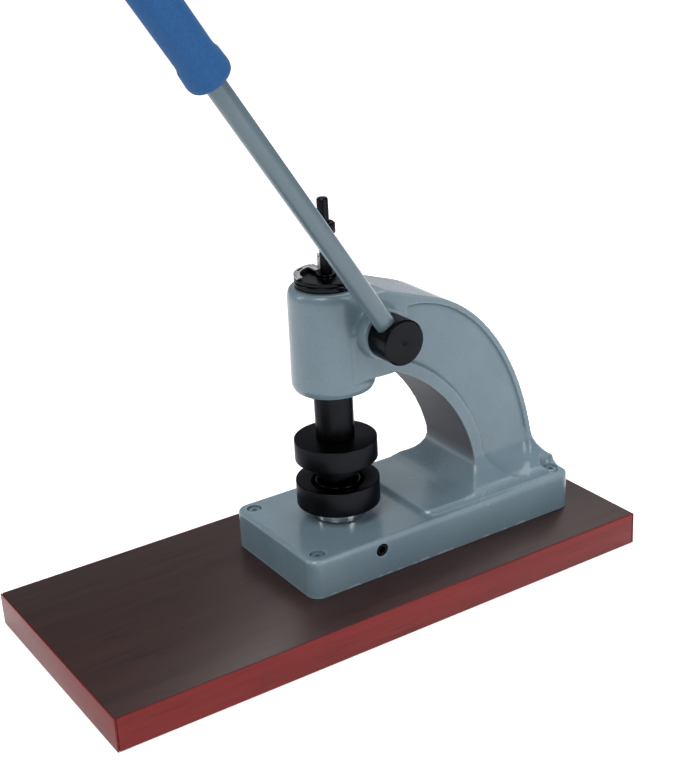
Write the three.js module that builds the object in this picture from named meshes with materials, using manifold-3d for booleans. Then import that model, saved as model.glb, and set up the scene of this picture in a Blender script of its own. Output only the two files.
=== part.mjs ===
// Hand press for setting grommets: a cast C-frame screwed to a laminated board, with a lever, a pinion
// and a toothed ram that carries the upper die down onto the lower one.
// Millimetres, +Z up. The origin is the centre of the board's underside; -Y is the operator's end and
// +X the lever's side. The ram is down, with the dies all but closed.
import * as THREE from "three";
import { mergeVertices } from "three/addons/utils/BufferGeometryUtils.js";
import Module from "manifold-3d";

const wasm = await Module();
wasm.setup();

// ---------------------------------------------------------------- clearances
const seatGap = 0.3; // between pieces that touch
const boltGap = 0.3; // round a screw, pin or stem in its hole
const runningGap = 0.2; // round a ram or shaft that moves in its bush

// ---------------------------------------------------------------- board
const boardLength = 352;
const boardWidth = 155;
const boardThickness = 20;
const laminateThickness = 0.7;
const bandThickness = 1;

// ---------------------------------------------------------------- casting: base
const baseLength = 190;
const baseWidth = 89;
const baseHeight = 23.7;
const baseCornerRadius = 7.5;
const baseEdge = 1.6; // bevel round the top
const baseFrontY = -36.3;
const platformHeight = 3;
const platformWidth = 78;
const platformFromFront = 83;
const platformBackMargin = 2;

// ---------------------------------------------------------------- casting: head and arm
const ramFromFront = 47.3;
const headBottomHeight = 104; // above the board
const headTopHeight = 166.8;
const headBottomRadius = 23.5;
const headTopRadius = 22.9;
const headRounding = 5;
const headStretch = 2; // the head is longer than it is wide, towards the arm
const armWidth = 48;
const armTopHeight = 154.5;
const armReach = 92; // half the length of the arm's outer ellipse
const armCentreFromRam = 39;
const armCentreHeight = 12;
const throatRadius = 95.6;
const throatCentreHeight = 26.3;
const throatCentreFromRam = -11;
const throatRoofHeight = 113.6; // flat underside next to the head
const panelDepth = 2; // recess in each side of the arm
const throatFlange = 8;
const outerFlange = 3.5;
const footFillet = 21; // where the arm meets the platform
const heelFillet = 21;
const footCorner = 16;
const screwClearance = 2.2; // of the foot round a base screw's head
const footLevels = [0, 1, 2.5, 5, 8, 12, 16, 21]; // heights at which the fillets are cut into flats
const shoulderDrop = 3; // arm's crest below the head's top
const shoulderLength = 61; // from the ram's axis to where the crest meets the arm's curve

// ---------------------------------------------------------------- screws that hold the base down
const screwInsetX = 9;
const screwInsetY = 9;
const screwShank = 2.5;
const screwCore = 1.7;
const screwLength = 36;
const screwHeadRadius = 4.3;
const screwHeadHeight = 2.6;
const screwHeadDepth = 0.8; // how far the head lies below the casting
const rearScrewLift = 1.8; // the rear screws stand higher, on the platform

// ---------------------------------------------------------------- rack and pinion
const toothModule = 1.5;
const pinionTeeth = 12;
const pressureAngle = THREE.MathUtils.degToRad(25);
const backlash = 0.4;
const toothAddendum = 1.35;
const toothDedendum = 1.6;
const pinionWidth = 14;
const pinionHeight = 142.1; // shaft axis above the board
const rackPitchOffset = 7.2; // rack's pitch line behind the ram's axis
const leverAngle = 57.4; // lever above the horizontal, towards the operator
const leverBack = 110; // degrees the lever swings back, which lifts the ram

// ---------------------------------------------------------------- shaft, hub and lever
const shaftRadius = 7;
const shaftBushWall = 3.5;
const shaftShoulder = 4; // from the teeth to the bush on each side
const bushFlush = 0.3; // bush end below the boss's face
const bossWall = 3.6;
const rightBossX = 33.3;
const leftBossX = 30;
const hubBoreWall = 5.8;
const hubEndWall = 2.6; // on each side of the lever's hole
const hubChamfer = 0.8;
const hubFloor = 3.8; // metal left at the end of the hub's bore
const hubPinRadius = 1.5;
const leverRadius = 5.7;
const leverLength = 295;
const gripStart = 184;
const gripRadius = 10.8;
const gripBulge = 12.1;
const gripBulgeLength = 16;
const gripEndWall = 4;
const ringThickness = 1.2;
const washerLap = 2; // how far the washer laps over the bush's edge

// ---------------------------------------------------------------- ram, stop rod and dies
const ramRadius = 11.35;
const ramBottomHeight = 73.6;
const ramTopHeight = 149;
const ramBushWall = 2.6;
const ramBushLength = 22;
const stopRodRadius = 3.25;
const stopRodTopHeight = 216.8;
const stopRodGrip = 12; // length screwed into the ram
const collarRadius = 6.5;
const collarHeight = 6;
const collarBottomHeight = 197;
const collarScrewRadius = 1.5;
const upperDieRadius = 24.4;
const upperDieThickness = 12.8;
const upperNeckRadius = 15;
const upperNeckLength = 8;
const punchRadius = 11.5;
const punchLength = 6.2;
const punchBore = 7;
const dieStemRadius = 6;
const dieStemLength = 18;
const dieScrewRadius = 2.5;
const lowerDieRadius = 24.8;
const lowerDieThickness = 14.8;
const lowerDieBottomHeight = 32.5;
const cupBore = 15.8;
const cupDepth = 8.8;
const cupDish = 1.8;
const pilotRingRadius = 13.6;
const pilotRingWall = 1.4;
const pilotRingHeight = 5.2;
const pilotRadius = 6.2;
const pilotHeight = 3;
const pilotStemRadius = 5;
const postRadius = 16;
const postShankRadius = 10;
const postShankLength = 17;
const dieLockHeight = 17; // side screw above the board
const dieLockRadius = 3.85;
const dieLockInset = 0.3; // screw's outer face below the base's side

// ---------------------------------------------------------------- cap on the head
const capRadius = 18.4;
const capThickness = 1.9;
const capRimWidth = 3.9;
const capRecess = 1.1;
const capBossRadius = 5.6;
const capBossHeight = 1;
const skirtWall = 2;
const skirtLength = 8.5;
const lockRingHeight = 3.3;
const plateThickness = 1.2;
const plateWidth = 3.6;
const tongueWidth = 5;
const lugWidth = 4.6;
const lugHeight = 9;
const lugHole = 1.5;
const brakeHeight = 137;
const brakePadRadius = 3;
const brakePadLength = 4.2;
const brakeScrewRadius = 3.9;

// ---------------------------------------------------------------- worked out from the above
const boardTop = boardThickness;
const baseBottom = boardTop + seatGap;
const baseTop = baseBottom + baseHeight;
const platformTop = baseTop + platformHeight;
const baseBackY = baseFrontY + baseLength;
const ramY = baseFrontY + ramFromFront;
const headBottom = boardTop + headBottomHeight;
const headTop = boardTop + headTopHeight;
const pitchRadius = (toothModule * pinionTeeth) / 2;
const toothPitch = Math.PI * toothModule;
const pinionY = ramY + rackPitchOffset + pitchRadius;
const pinionZ = boardTop + pinionHeight;
const pinionRadius = pitchRadius + toothAddendum;
const strokeUp = pitchRadius * THREE.MathUtils.degToRad(leverBack);
const rootRadius = pitchRadius - toothDedendum;
const shaftCore = Math.min(shaftRadius, rootRadius - 0.4); // turned down where the teeth are
const shaftBushRadius = Math.max(shaftRadius + shaftBushWall, pinionRadius); // the pinion passes its bore
const shaftBore = shaftBushRadius + boltGap;
const bossRadius = shaftBore + bossWall;
const ramBottom = boardTop + ramBottomHeight;
const ramTop = boardTop + ramTopHeight;
const ramBushRadius = ramRadius + ramBushWall;
const headBore = ramBushRadius + boltGap;
const hubRadius = shaftRadius + boltGap + hubBoreWall;
const hubLength = 2 * (leverRadius + boltGap + hubEndWall);
const hubStart = rightBossX + seatGap;
const hubEnd = hubStart + hubLength;
const leverX = hubStart + hubLength / 2;
const lowerDieBottom = boardTop + lowerDieBottomHeight;
const upperDieTop = ramBottom - seatGap;
const upperDieBottom = upperDieTop - upperDieThickness;
const neckBottom = upperDieBottom - upperNeckLength;
const stopRodTop = boardTop + stopRodTopHeight;
const ringFine = 36;
const ringSmall = 24;
const ringCoarse = 16;

// ---------------------------------------------------------------- solids
// A closed three.js geometry as a solid that can be joined or cut.
function solid(geometry, matrix = new THREE.Matrix4()) {
  const bare = geometry.clone().applyMatrix4(matrix);
  bare.deleteAttribute("normal");
  bare.deleteAttribute("uv");
  const merged = mergeVertices(bare, 1e-4);
  const corners = merged.index.array;
  const triVerts = [];
  for (let i = 0; i < corners.length; i += 3) {
    const [a, b, c] = corners.slice(i, i + 3);
    if (a !== b && b !== c && c !== a) triVerts.push(a, b, c);
  }
  const vertProperties = merged.attributes.position.array;
  const mesh = new wasm.Mesh({ numProp: 3, vertProperties, triVerts: new Uint32Array(triVerts) });
  return new wasm.Manifold(mesh);
}

function geometryOf(body) {
  const made = body.getMesh();
  const geometry = new THREE.BufferGeometry();
  geometry.setAttribute("position", new THREE.BufferAttribute(made.vertProperties, 3));
  geometry.setIndex(new THREE.BufferAttribute(made.triVerts, 1));
  const flat = geometry.toNonIndexed();
  flat.computeVertexNormals();
  return flat;
}

const uprightToY = new THREE.Matrix4().makeRotationX(Math.PI / 2);
const shapeToYZ = new THREE.Matrix4().makeBasis(
  new THREE.Vector3(0, 1, 0),
  new THREE.Vector3(0, 0, 1),
  new THREE.Vector3(1, 0, 0),
);

function moved(x, y, z) {
  return new THREE.Matrix4().makeTranslation(x, y, z);
}

// A solid turned about an upright axis at (x, y), from [radius, height] points in rising order outside.
function turned(profile, x = 0, y = 0, segments = ringFine) {
  const points = profile.map(([r, z]) => new THREE.Vector2(r, z));
  const lathe = new THREE.LatheGeometry(points, segments);
  return solid(lathe, moved(x, y, 0).multiply(uprightToY));
}

function tubeProfile(inner, outer, low, high) {
  return [[inner, low], [outer, low], [outer, high], [inner, high], [inner, low]];
}

function upright(radius, low, high, x = 0, y = 0, segments = ringFine) {
  return turned([[0, low], [radius, low], [radius, high], [0, high]], x, y, segments);
}

// A round bar or bore along X.
function alongX(radius, from, to, y, z, segments = ringFine) {
  const bar = new THREE.CylinderGeometry(radius, radius, to - from, segments);
  const turn = new THREE.Matrix4().makeRotationZ(-Math.PI / 2);
  return solid(bar, moved((from + to) / 2, y, z).multiply(turn));
}

function box(x0, x1, y0, y1, z0, z1) {
  const block = new THREE.BoxGeometry(x1 - x0, y1 - y0, z1 - z0);
  return solid(block, moved((x0 + x1) / 2, (y0 + y1) / 2, (z0 + z1) / 2));
}

// A shape drawn in Y and Z, given its thickness along X.
function slabAlongX(shape, from, to, curveSegments = 32) {
  const slab = new THREE.ExtrudeGeometry(shape, { depth: to - from, bevelEnabled: false, curveSegments });
  return solid(slab, moved(from, 0, 0).multiply(shapeToYZ));
}

function roundedRectangle(x0, x1, y0, y1, radius) {
  const shape = new THREE.Shape();
  shape.moveTo(x0 + radius, y0);
  shape.absarc(x1 - radius, y0 + radius, radius, -Math.PI / 2, 0);
  shape.absarc(x1 - radius, y1 - radius, radius, 0, Math.PI / 2);
  shape.absarc(x0 + radius, y1 - radius, radius, Math.PI / 2, Math.PI);
  shape.absarc(x0 + radius, y0 + radius, radius, Math.PI, 1.5 * Math.PI);
  return shape;
}

function slabUpright(shape, low, high, curveSegments = 6) {
  const slab = new THREE.ExtrudeGeometry(shape, { depth: high - low, bevelEnabled: false, curveSegments });
  return solid(slab, moved(0, 0, low));
}

// A block whose upper face is smaller than its lower one.
function flaredBlock(low, high, lower, upper) {
  const block = new THREE.BoxGeometry(1, 1, high - low);
  const corner = block.getAttribute("position");
  for (let i = 0; i < corner.count; i++) {
    const [halfWidth, y0, y1] = corner.getZ(i) < 0 ? lower : upper;
    corner.setX(i, corner.getX(i) < 0 ? -halfWidth : halfWidth);
    corner.setY(i, corner.getY(i) < 0 ? y0 : y1);
  }
  return solid(block, moved(0, 0, (low + high) / 2));
}

// A set screw with a hexagon socket in its outer end, lying along X from tip to face.
function setScrew(radius, tip, face, y, z) {
  const outward = Math.sign(face - tip);
  const socket = radius * 0.55;
  const depth = Math.min(radius * 1.2, Math.abs(face - tip) * 0.5);
  const [from, to] = [Math.min(tip, face), Math.max(tip, face)];
  const [bottom, mouth] = [face - outward * depth, face + outward];
  const hexagon = alongX(socket, Math.min(bottom, mouth), Math.max(bottom, mouth), y, z, 6);
  return alongX(radius, from, to, y, z, ringCoarse).subtract(hexagon);
}

// ---------------------------------------------------------------- finishes
const paintedIron = { color: 0x7b8994, roughness: 0.42, metalness: 0.1 };
const blackOxide = { color: 0x24272a, roughness: 0.4, metalness: 0.6 };
const plated = { color: 0xc9ccd0, roughness: 0.15, metalness: 1 };
const steel = { color: 0x9a9da1, roughness: 0.35, metalness: 0.9 };
const bronze = { color: 0xa87d45, roughness: 0.4, metalness: 0.9 };
const greySheet = { color: 0x8b8d93, roughness: 0.35, metalness: 0.8 };
const nylon = { color: 0xe6e4da, roughness: 0.6, metalness: 0 };
const foam = { color: 0x2361a8, roughness: 0.75, metalness: 0 };
const laminate = { color: 0x4b3232, roughness: 0.35, metalness: 0 };
const mahogany = { color: 0x7d2a28, roughness: 0.4, metalness: 0 };
const chipboard = { color: 0xb08d62, roughness: 0.9, metalness: 0 };

const press = new THREE.Group();

function add(name, body, finish, parent = press) {
  const mesh = new THREE.Mesh(geometryOf(body), new THREE.MeshStandardMaterial(finish));
  mesh.name = name;
  parent.add(mesh);
  return mesh;
}

// ---------------------------------------------------------------- where the base screws stand
const screwX = baseWidth / 2 - screwInsetX;
const screwSpots = {
  front_left: [-screwX, baseFrontY + screwInsetY, 0],
  front_right: [screwX, baseFrontY + screwInsetY, 0],
  rear_left: [-screwX, baseBackY - screwInsetY, rearScrewLift],
  rear_right: [screwX, baseBackY - screwInsetY, rearScrewLift],
};
const screwHeadTop = baseTop - screwHeadDepth;
const screwHeadBottom = screwHeadTop - screwHeadHeight;
const screwTip = screwHeadTop - screwLength;

function screwHoles(body, radius, low, high) {
  return Object.values(screwSpots).reduce(
    (left, [x, y]) => left.subtract(upright(radius, low, high, x, y, ringCoarse)),
    body,
  );
}

// ---------------------------------------------------------------- board
function buildBoard() {
  const halfWidth = boardWidth / 2;
  const halfLength = boardLength / 2;
  const inner = bandThickness + seatGap;
  const coreTop = boardTop - laminateThickness - seatGap;
  const coreX = halfWidth - inner;
  const coreY = halfLength - inner;
  const core = box(-coreX, coreX, -coreY, coreY, 0, coreTop);
  const top = box(-coreX, coreX, -coreY, coreY, boardTop - laminateThickness, boardTop);
  const pilot = screwShank + boltGap;
  add("board_core", screwHoles(core, pilot, screwTip - 2, boardTop + 1), chipboard);
  add("board_top_laminate", screwHoles(top, pilot, 0, boardTop + 1), laminate);
  const bandEnd = halfLength - bandThickness - seatGap;
  for (const [side, x] of [["left", -halfWidth], ["right", halfWidth - bandThickness]]) {
    add(`edge_band_${side}`, box(x, x + bandThickness, -bandEnd, bandEnd, 0, boardTop), mahogany);
  }
  for (const [side, y] of [["front", -halfLength], ["rear", halfLength - bandThickness]]) {
    add(`edge_band_${side}`, box(-halfWidth, halfWidth, y, y + bandThickness, 0, boardTop), mahogany);
  }
}

// ---------------------------------------------------------------- casting
// The arm's outer ellipse, smaller all round by an inset.
function armEllipse(inset) {
  const centreY = ramY + armCentreFromRam;
  const centreZ = boardTop + armCentreHeight;
  const shape = new THREE.Shape();
  const rise = armTopHeight - armCentreHeight - inset;
  shape.absellipse(centreY, centreZ, armReach - inset, rise, 0, 2 * Math.PI);
  return shape;
}

// The throat's opening, larger all round by an extra.
function throatOpening(extra, halfWidth) {
  const y = ramY + throatCentreFromRam;
  const radius = throatRadius + extra;
  const z = boardTop + throatCentreHeight;
  const roof = boardTop + throatRoofHeight + extra;
  const below = box(-halfWidth, halfWidth, y - radius, y + radius, z - radius, roof);
  return alongX(radius, -halfWidth, halfWidth, y, z, 80).intersect(below);
}

// The arm without its head: the ellipse above the base, less the throat.
function armBody() {
  const half = armWidth / 2;
  const reach = ramY + armCentreFromRam + armReach;
  const above = box(-half, half, ramY, reach + 1, baseTop - 1, headTop);
  const curved = slabAlongX(armEllipse(0), -half, half, 48).intersect(above);
  const crestZ = headTop - shoulderDrop;
  const rootFront = ramY + headTopRadius / 3;
  const rise = armTopHeight - armCentreHeight;
  const meetY = ramY + shoulderLength;
  const along = (shoulderLength - armCentreFromRam) / armReach;
  const meetZ = boardTop + armCentreHeight + rise * Math.sqrt(1 - along * along);
  const shoulder = new THREE.Shape();
  shoulder.moveTo(rootFront, headBottom + headRounding);
  shoulder.lineTo(ramY + headTopRadius, headBottom + headRounding);
  shoulder.lineTo(meetY, meetZ - outerFlange);
  shoulder.lineTo(meetY, meetZ);
  shoulder.lineTo(ramY + headTopRadius, crestZ);
  shoulder.lineTo(rootFront, crestZ);
  return curved.add(slabAlongX(shoulder, -half, half)).subtract(throatOpening(0, half + 1));
}

// The side panels that the arm's flanges stand round.
function armPanels() {
  const half = armWidth / 2 + 1;
  const from = ramY + headTopRadius + bossRadius;
  const to = ramY + armCentreFromRam + armReach;
  const outline = slabAlongX(armEllipse(outerFlange), -half, half, 48);
  const zone = box(-half, half, from, to, platformTop, headTop);
  const web = armWidth / 2 - panelDepth;
  const core = box(-web, web, ramY, to + 1, baseTop, headTop + 1);
  return outline.intersect(zone).subtract(throatOpening(throatFlange, half)).subtract(core);
}

// How far a fillet stands out from its wall, at a height above its foot.
function filletReach(radius, height) {
  const left = Math.max(0, radius - height);
  return radius - Math.sqrt(radius * radius - left * left);
}

// The foot's front and back in Y, with their fillets, at a height above the platform.
function footEnds(height) {
  const z = platformTop + height;
  const throatRise = z - boardTop - throatCentreHeight;
  const armRise = (z - boardTop - armCentreHeight) / (armTopHeight - armCentreHeight);
  const throatReach = Math.sqrt(throatRadius * throatRadius - throatRise * throatRise);
  const front = ramY + throatCentreFromRam + throatReach;
  const back = ramY + armCentreFromRam + armReach * Math.sqrt(1 - armRise * armRise);
  return [front - filletReach(footFillet, height), back + filletReach(heelFillet, height)];
}

// The foot below a pair of walls at +wallX and -wallX, with its front and back drawn in by a trim.
function footBelow(wallX, frontTrim, backTrim) {
  const levels = footLevels.map((height) => {
    const [front, back] = footEnds(height);
    return [wallX + filletReach(footFillet, height), front + frontTrim, back - backTrim];
  });
  const slices = levels.slice(1).map((upper, i) => {
    const [low, high] = [platformTop + footLevels[i], platformTop + footLevels[i + 1]];
    return flaredBlock(low, high, levels[i], upper);
  });
  const root = flaredBlock(baseTop - 1, platformTop, levels[0], levels[0]);
  return slices.reduce((joined, slice) => joined.add(slice), root);
}

function buildFrame() {
  const halfBase = baseWidth / 2;
  const outline = roundedRectangle(-halfBase, halfBase, baseFrontY, baseBackY, baseCornerRadius);
  const smaller = roundedRectangle(
    baseEdge - halfBase,
    halfBase - baseEdge,
    baseFrontY + baseEdge,
    baseBackY - baseEdge,
    baseCornerRadius - baseEdge,
  );
  const bevelled = new THREE.ExtrudeGeometry(smaller, {
    depth: baseHeight / 2,
    bevelSize: baseEdge,
    bevelThickness: baseEdge,
    bevelSegments: 2,
    curveSegments: 6,
  });
  const baseUpper = solid(bevelled, moved(0, 0, baseTop - baseEdge - baseHeight / 2));
  const baseLower = slabUpright(outline, baseBottom, baseTop - baseEdge);

  const platformShape = roundedRectangle(
    -platformWidth / 2,
    platformWidth / 2,
    baseFrontY + platformFromFront,
    baseBackY - platformBackMargin,
    baseCornerRadius,
  );
  const platform = slabUpright(platformShape, baseTop - 1, platformTop);

  const web = armWidth / 2 - panelDepth;
  const [footFront, footBack] = footEnds(footFillet);
  const footLength = footBack - footFront;
  const frontFlange = footBelow(armWidth / 2, 0, footLength - throatFlange);
  const backFlange = footBelow(armWidth / 2, footLength - outerFlange, 0);
  const footPlan = roundedRectangle(
    -platformWidth / 2,
    platformWidth / 2,
    baseFrontY + platformFromFront,
    baseBackY - baseEdge / 2,
    footCorner,
  );
  const foot = footBelow(web, 0, 0)
    .add(frontFlange)
    .add(backFlange)
    .intersect(slabUpright(footPlan, baseTop - 1, platformTop + footFillet));
  const screwRoom = screwHeadRadius + screwClearance;

  const headProfile = [
    [0, headBottom],
    [headBottomRadius - headRounding, headBottom],
    [headBottomRadius - headRounding * 0.3, headBottom + headRounding * 0.3],
    [headBottomRadius, headBottom + headRounding],
    [headTopRadius, headTop - headRounding],
    [headTopRadius - headRounding * 0.15, headTop - headRounding * 0.35],
    [headTopRadius - headRounding * 0.5, headTop],
    [0, headTop],
  ];
  const headEnds = [ramY, ramY + headStretch].map((y) => turned(headProfile, 0, y));
  const head = headEnds[0].add(headEnds[1]).hull();
  const bosses = alongX(bossRadius, -leftBossX, rightBossX, pinionY, pinionZ);

  let casting = armBody()
    .subtract(armPanels())
    .add(screwHoles(foot, screwRoom, platformTop, platformTop + footFillet + 1))
    .add(platform)
    .add(baseLower)
    .add(baseUpper)
    .add(head)
    .add(bosses);

  const postFloor = baseTop - postShankLength - seatGap;
  const postSocket = upright(postShankRadius + boltGap, postFloor, baseTop + 1, 0, ramY);
  const lockZ = boardTop + dieLockHeight;
  const lockBore = alongX(dieLockRadius + boltGap, 0, halfBase + 1, ramY, lockZ, ringCoarse);
  const brakeZ = boardTop + brakeHeight;
  const brakeBore = alongX(brakeScrewRadius + boltGap, -headBottomRadius - 1, 0, ramY, brakeZ, ringCoarse);
  casting = casting
    .subtract(upright(headBore, headBottom - 1, headTop + 1, 0, ramY))
    .subtract(alongX(shaftBore, -leftBossX - 1, rightBossX + 1, pinionY, pinionZ))
    .subtract(postSocket)
    .subtract(lockBore)
    .subtract(brakeBore);
  casting = screwHoles(casting, screwShank + boltGap, baseBottom - 1, baseTop + 1);
  const recessTop = platformTop + 1;
  for (const [x, y, lift] of Object.values(screwSpots)) {
    const seat = screwHeadBottom - seatGap + lift;
    casting = casting.subtract(upright(screwHeadRadius + boltGap, seat, recessTop, x, y, ringCoarse));
  }
  add("press_frame", casting, paintedIron);

  for (const [spot, [x, y, lift]] of Object.entries(screwSpots)) {
    const threadTop = baseBottom - seatGap;
    const [tip, underHead, top] = [screwTip, screwHeadBottom, screwHeadTop].map((z) => z + lift);
    const profile = [
      [0, tip],
      [screwCore, tip + 3],
      [screwCore, threadTop],
      [screwShank, threadTop + 1],
      [screwShank, underHead],
      [screwHeadRadius, underHead],
      [screwHeadRadius, top - 1],
      [screwHeadRadius - 1, top],
      [0, top],
    ];
    add(`base_screw_${spot}`, turned(profile, x, y, ringCoarse), paintedIron);
  }
}

// ---------------------------------------------------------------- lower die on its post
function buildLowerDie() {
  const postTop = lowerDieBottom - seatGap;
  const postSeat = baseTop + seatGap;
  const postTip = baseTop - postShankLength;
  const stemHole = pilotStemRadius + boltGap;
  const stemTip = postSeat - 2;
  const post = turned([
    [0, postTip],
    [postShankRadius, postTip],
    [postShankRadius, postSeat],
    [postRadius, postSeat],
    [postRadius, postTop],
    [stemHole, postTop],
    [stemHole, stemTip - seatGap],
    [0, stemTip - seatGap],
  ], 0, ramY);
  add("die_post", post, plated);
  const lockTip = postShankRadius + seatGap;
  const lockFace = baseWidth / 2 - dieLockInset;
  const lock = setScrew(dieLockRadius, lockTip, lockFace, ramY, boardTop + dieLockHeight);
  add("die_post_set_screw", lock, blackOxide);

  const cupTop = lowerDieBottom + lowerDieThickness;
  const cupFloor = cupTop - cupDepth;
  const cup = turned([
    [stemHole, lowerDieBottom],
    [lowerDieRadius - 0.5, lowerDieBottom],
    [lowerDieRadius, lowerDieBottom + 0.5],
    [lowerDieRadius, cupTop - 0.5],
    [lowerDieRadius - 0.5, cupTop],
    [cupBore, cupTop - cupDish],
    [cupBore, cupFloor],
    [stemHole, cupFloor],
    [stemHole, lowerDieBottom],
  ], 0, ramY);
  add("lower_die_cup", cup, blackOxide);

  const pilotSeat = cupFloor + seatGap;
  const pilotFloor = pilotSeat + 2.2;
  const ringTop = pilotSeat + 2.2 + pilotRingHeight;
  const pilot = turned([
    [0, stemTip],
    [pilotStemRadius, stemTip],
    [pilotStemRadius, pilotSeat],
    [cupBore - boltGap, pilotSeat],
    [cupBore - boltGap, pilotFloor],
    [pilotRingRadius, pilotFloor],
    [pilotRingRadius, ringTop],
    [pilotRingRadius - pilotRingWall, ringTop],
    [pilotRingRadius - pilotRingWall, pilotFloor],
    [pilotRadius, pilotFloor],
    [pilotRadius, pilotFloor + pilotHeight],
    [pilotRadius * 0.6, pilotFloor + pilotHeight + 0.8],
    [0, pilotFloor + pilotHeight + 0.8],
  ], 0, ramY);
  add("lower_die_pilot", pilot, blackOxide);
}

// ---------------------------------------------------------------- pinion and rack teeth
// Half the angle that a pinion tooth fills at a radius: an involute flank thinned by half the backlash.
function toothHalfAngle(radius) {
  const involute = (angle) => Math.tan(angle) - angle;
  const baseRadius = pitchRadius * Math.cos(pressureAngle);
  const atPitch = Math.PI / (2 * pinionTeeth) - backlash / 4 / pitchRadius;
  const angle = Math.acos(Math.min(1, baseRadius / radius));
  return atPitch + involute(pressureAngle) - involute(angle);
}

function pinionShape() {
  const flankStart = pitchRadius * Math.cos(pressureAngle);
  const radii = [rootRadius, flankStart];
  const flankSteps = 4;
  for (let i = 1; i <= flankSteps; i++) {
    radii.push(flankStart + ((pinionRadius - flankStart) * i) / flankSteps);
  }
  const points = [];
  for (let tooth = 0; tooth < pinionTeeth; tooth++) {
    const middle = Math.PI + (2 * Math.PI * tooth) / pinionTeeth; // one tooth points at the ram
    const flank = radii.map((r) => [r, toothHalfAngle(Math.max(r, flankStart))]);
    const rising = flank.map(([r, half]) => [r, middle - half]);
    const falling = flank.map(([r, half]) => [r, middle + half]).reverse();
    points.push(...rising, ...falling);
  }
  return new THREE.Shape(points.map(([r, a]) => new THREE.Vector2(r * Math.cos(a), r * Math.sin(a))));
}

// The spaces between the rack's teeth, as one cutting tool behind the ram.
function rackSpaces() {
  const tipY = ramY + rackPitchOffset + toothAddendum;
  const rootY = ramY + rackPitchOffset - toothDedendum;
  const pitchY = ramY + rackPitchOffset;
  const outside = ramY + ramRadius + 1;
  const lowest = pinionZ - strokeUp - pinionRadius;
  const halfAt = (y) => toothPitch / 4 + backlash / 4 + (y - pitchY) * Math.tan(pressureAngle);
  let tool = box(-ramRadius, ramRadius, tipY, outside, lowest, ramTop + 1);
  const first = Math.ceil((lowest - pinionZ) / toothPitch + 0.5);
  const last = Math.floor((ramTop - pinionZ) / toothPitch + 0.5);
  for (let k = first; k <= last; k++) {
    const z = pinionZ + k * toothPitch;
    const space = new THREE.Shape();
    space.moveTo(rootY, z - halfAt(rootY));
    space.lineTo(tipY + 0.5, z - halfAt(tipY + 0.5));
    space.lineTo(tipY + 0.5, z + halfAt(tipY + 0.5));
    space.lineTo(rootY, z + halfAt(rootY));
    tool = tool.add(slabAlongX(space, -ramRadius, ramRadius));
  }
  return tool;
}

// ---------------------------------------------------------------- ram, stop rod and upper die
function buildRam() {
  const stemHole = dieStemRadius + boltGap;
  const rodBottom = ramTop - stopRodGrip;
  const dieScrewZ = ramBottom + dieStemLength / 2;
  const bar = turned([
    [0, ramBottom],
    [ramRadius - 0.5, ramBottom],
    [ramRadius, ramBottom + 0.5],
    [ramRadius, ramTop - 1],
    [ramRadius - 1, ramTop],
    [0, ramTop],
  ], 0, ramY)
    .subtract(rackSpaces())
    .subtract(upright(stemHole, ramBottom - 1, ramBottom + dieStemLength + seatGap, 0, ramY))
    .subtract(upright(stopRodRadius + boltGap, rodBottom - seatGap, ramTop + 1, 0, ramY, ringCoarse))
    .subtract(alongX(dieScrewRadius + boltGap, -ramRadius - 1, 0, ramY, dieScrewZ, ringCoarse));
  add("ram", bar, blackOxide);
  const dieScrew = setScrew(dieScrewRadius, -dieStemRadius - seatGap, 0.4 - ramRadius, ramY, dieScrewZ);
  add("upper_die_set_screw", dieScrew, blackOxide);

  const rod = turned([
    [0, rodBottom],
    [stopRodRadius, rodBottom],
    [stopRodRadius, stopRodTop - 0.6],
    [stopRodRadius - 0.6, stopRodTop],
    [0, stopRodTop],
  ], 0, ramY, ringSmall);
  add("stop_rod", rod, blackOxide);

  const collarBottom = boardTop + collarBottomHeight;
  const collarTop = collarBottom + collarHeight;
  const bore = stopRodRadius + boltGap;
  const screwZ = collarBottom + collarHeight / 2;
  const screwBore = alongX(collarScrewRadius + boltGap, -collarRadius - 1, 0, ramY, screwZ, ringCoarse);
  const collar = turned([
    [bore, collarBottom],
    [collarRadius - 0.4, collarBottom],
    [collarRadius, collarBottom + 0.4],
    [collarRadius, collarTop - 1],
    [collarRadius - 1, collarTop],
    [bore, collarTop],
    [bore, collarBottom],
  ], 0, ramY, ringSmall).subtract(screwBore);
  add("stop_collar", collar, blackOxide);
  const collarScrew = setScrew(collarScrewRadius, -bore, 0.3 - collarRadius, ramY, screwZ);
  add("stop_collar_screw", collarScrew, blackOxide);

  const punchStemTop = neckBottom + dieStemLength * 0.72;
  const die = turned([
    [stemHole, neckBottom],
    [upperNeckRadius - 0.5, neckBottom],
    [upperNeckRadius, neckBottom + 0.5],
    [upperNeckRadius, upperDieBottom],
    [upperDieRadius - 0.5, upperDieBottom],
    [upperDieRadius, upperDieBottom + 0.5],
    [upperDieRadius, upperDieTop - 0.5],
    [upperDieRadius - 0.5, upperDieTop],
    [dieStemRadius, upperDieTop],
    [dieStemRadius, upperDieTop + dieStemLength],
    [0, upperDieTop + dieStemLength],
    [0, punchStemTop + seatGap],
    [stemHole, punchStemTop + seatGap],
    [stemHole, neckBottom],
  ], 0, ramY);
  add("upper_die", die, blackOxide);

  const punchTop = neckBottom - seatGap;
  const punch = turned([
    [punchBore, punchTop - punchLength],
    [punchRadius - 0.6, punchTop - punchLength],
    [punchRadius, punchTop - punchLength + 0.6],
    [punchRadius, punchTop],
    [dieStemRadius, punchTop],
    [dieStemRadius, punchStemTop],
    [0, punchStemTop],
    [0, punchTop - 2],
    [punchBore, punchTop - 2],
    [punchBore, punchTop - punchLength],
  ], 0, ramY);
  add("upper_die_punch", punch, blackOxide);
}

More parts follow.
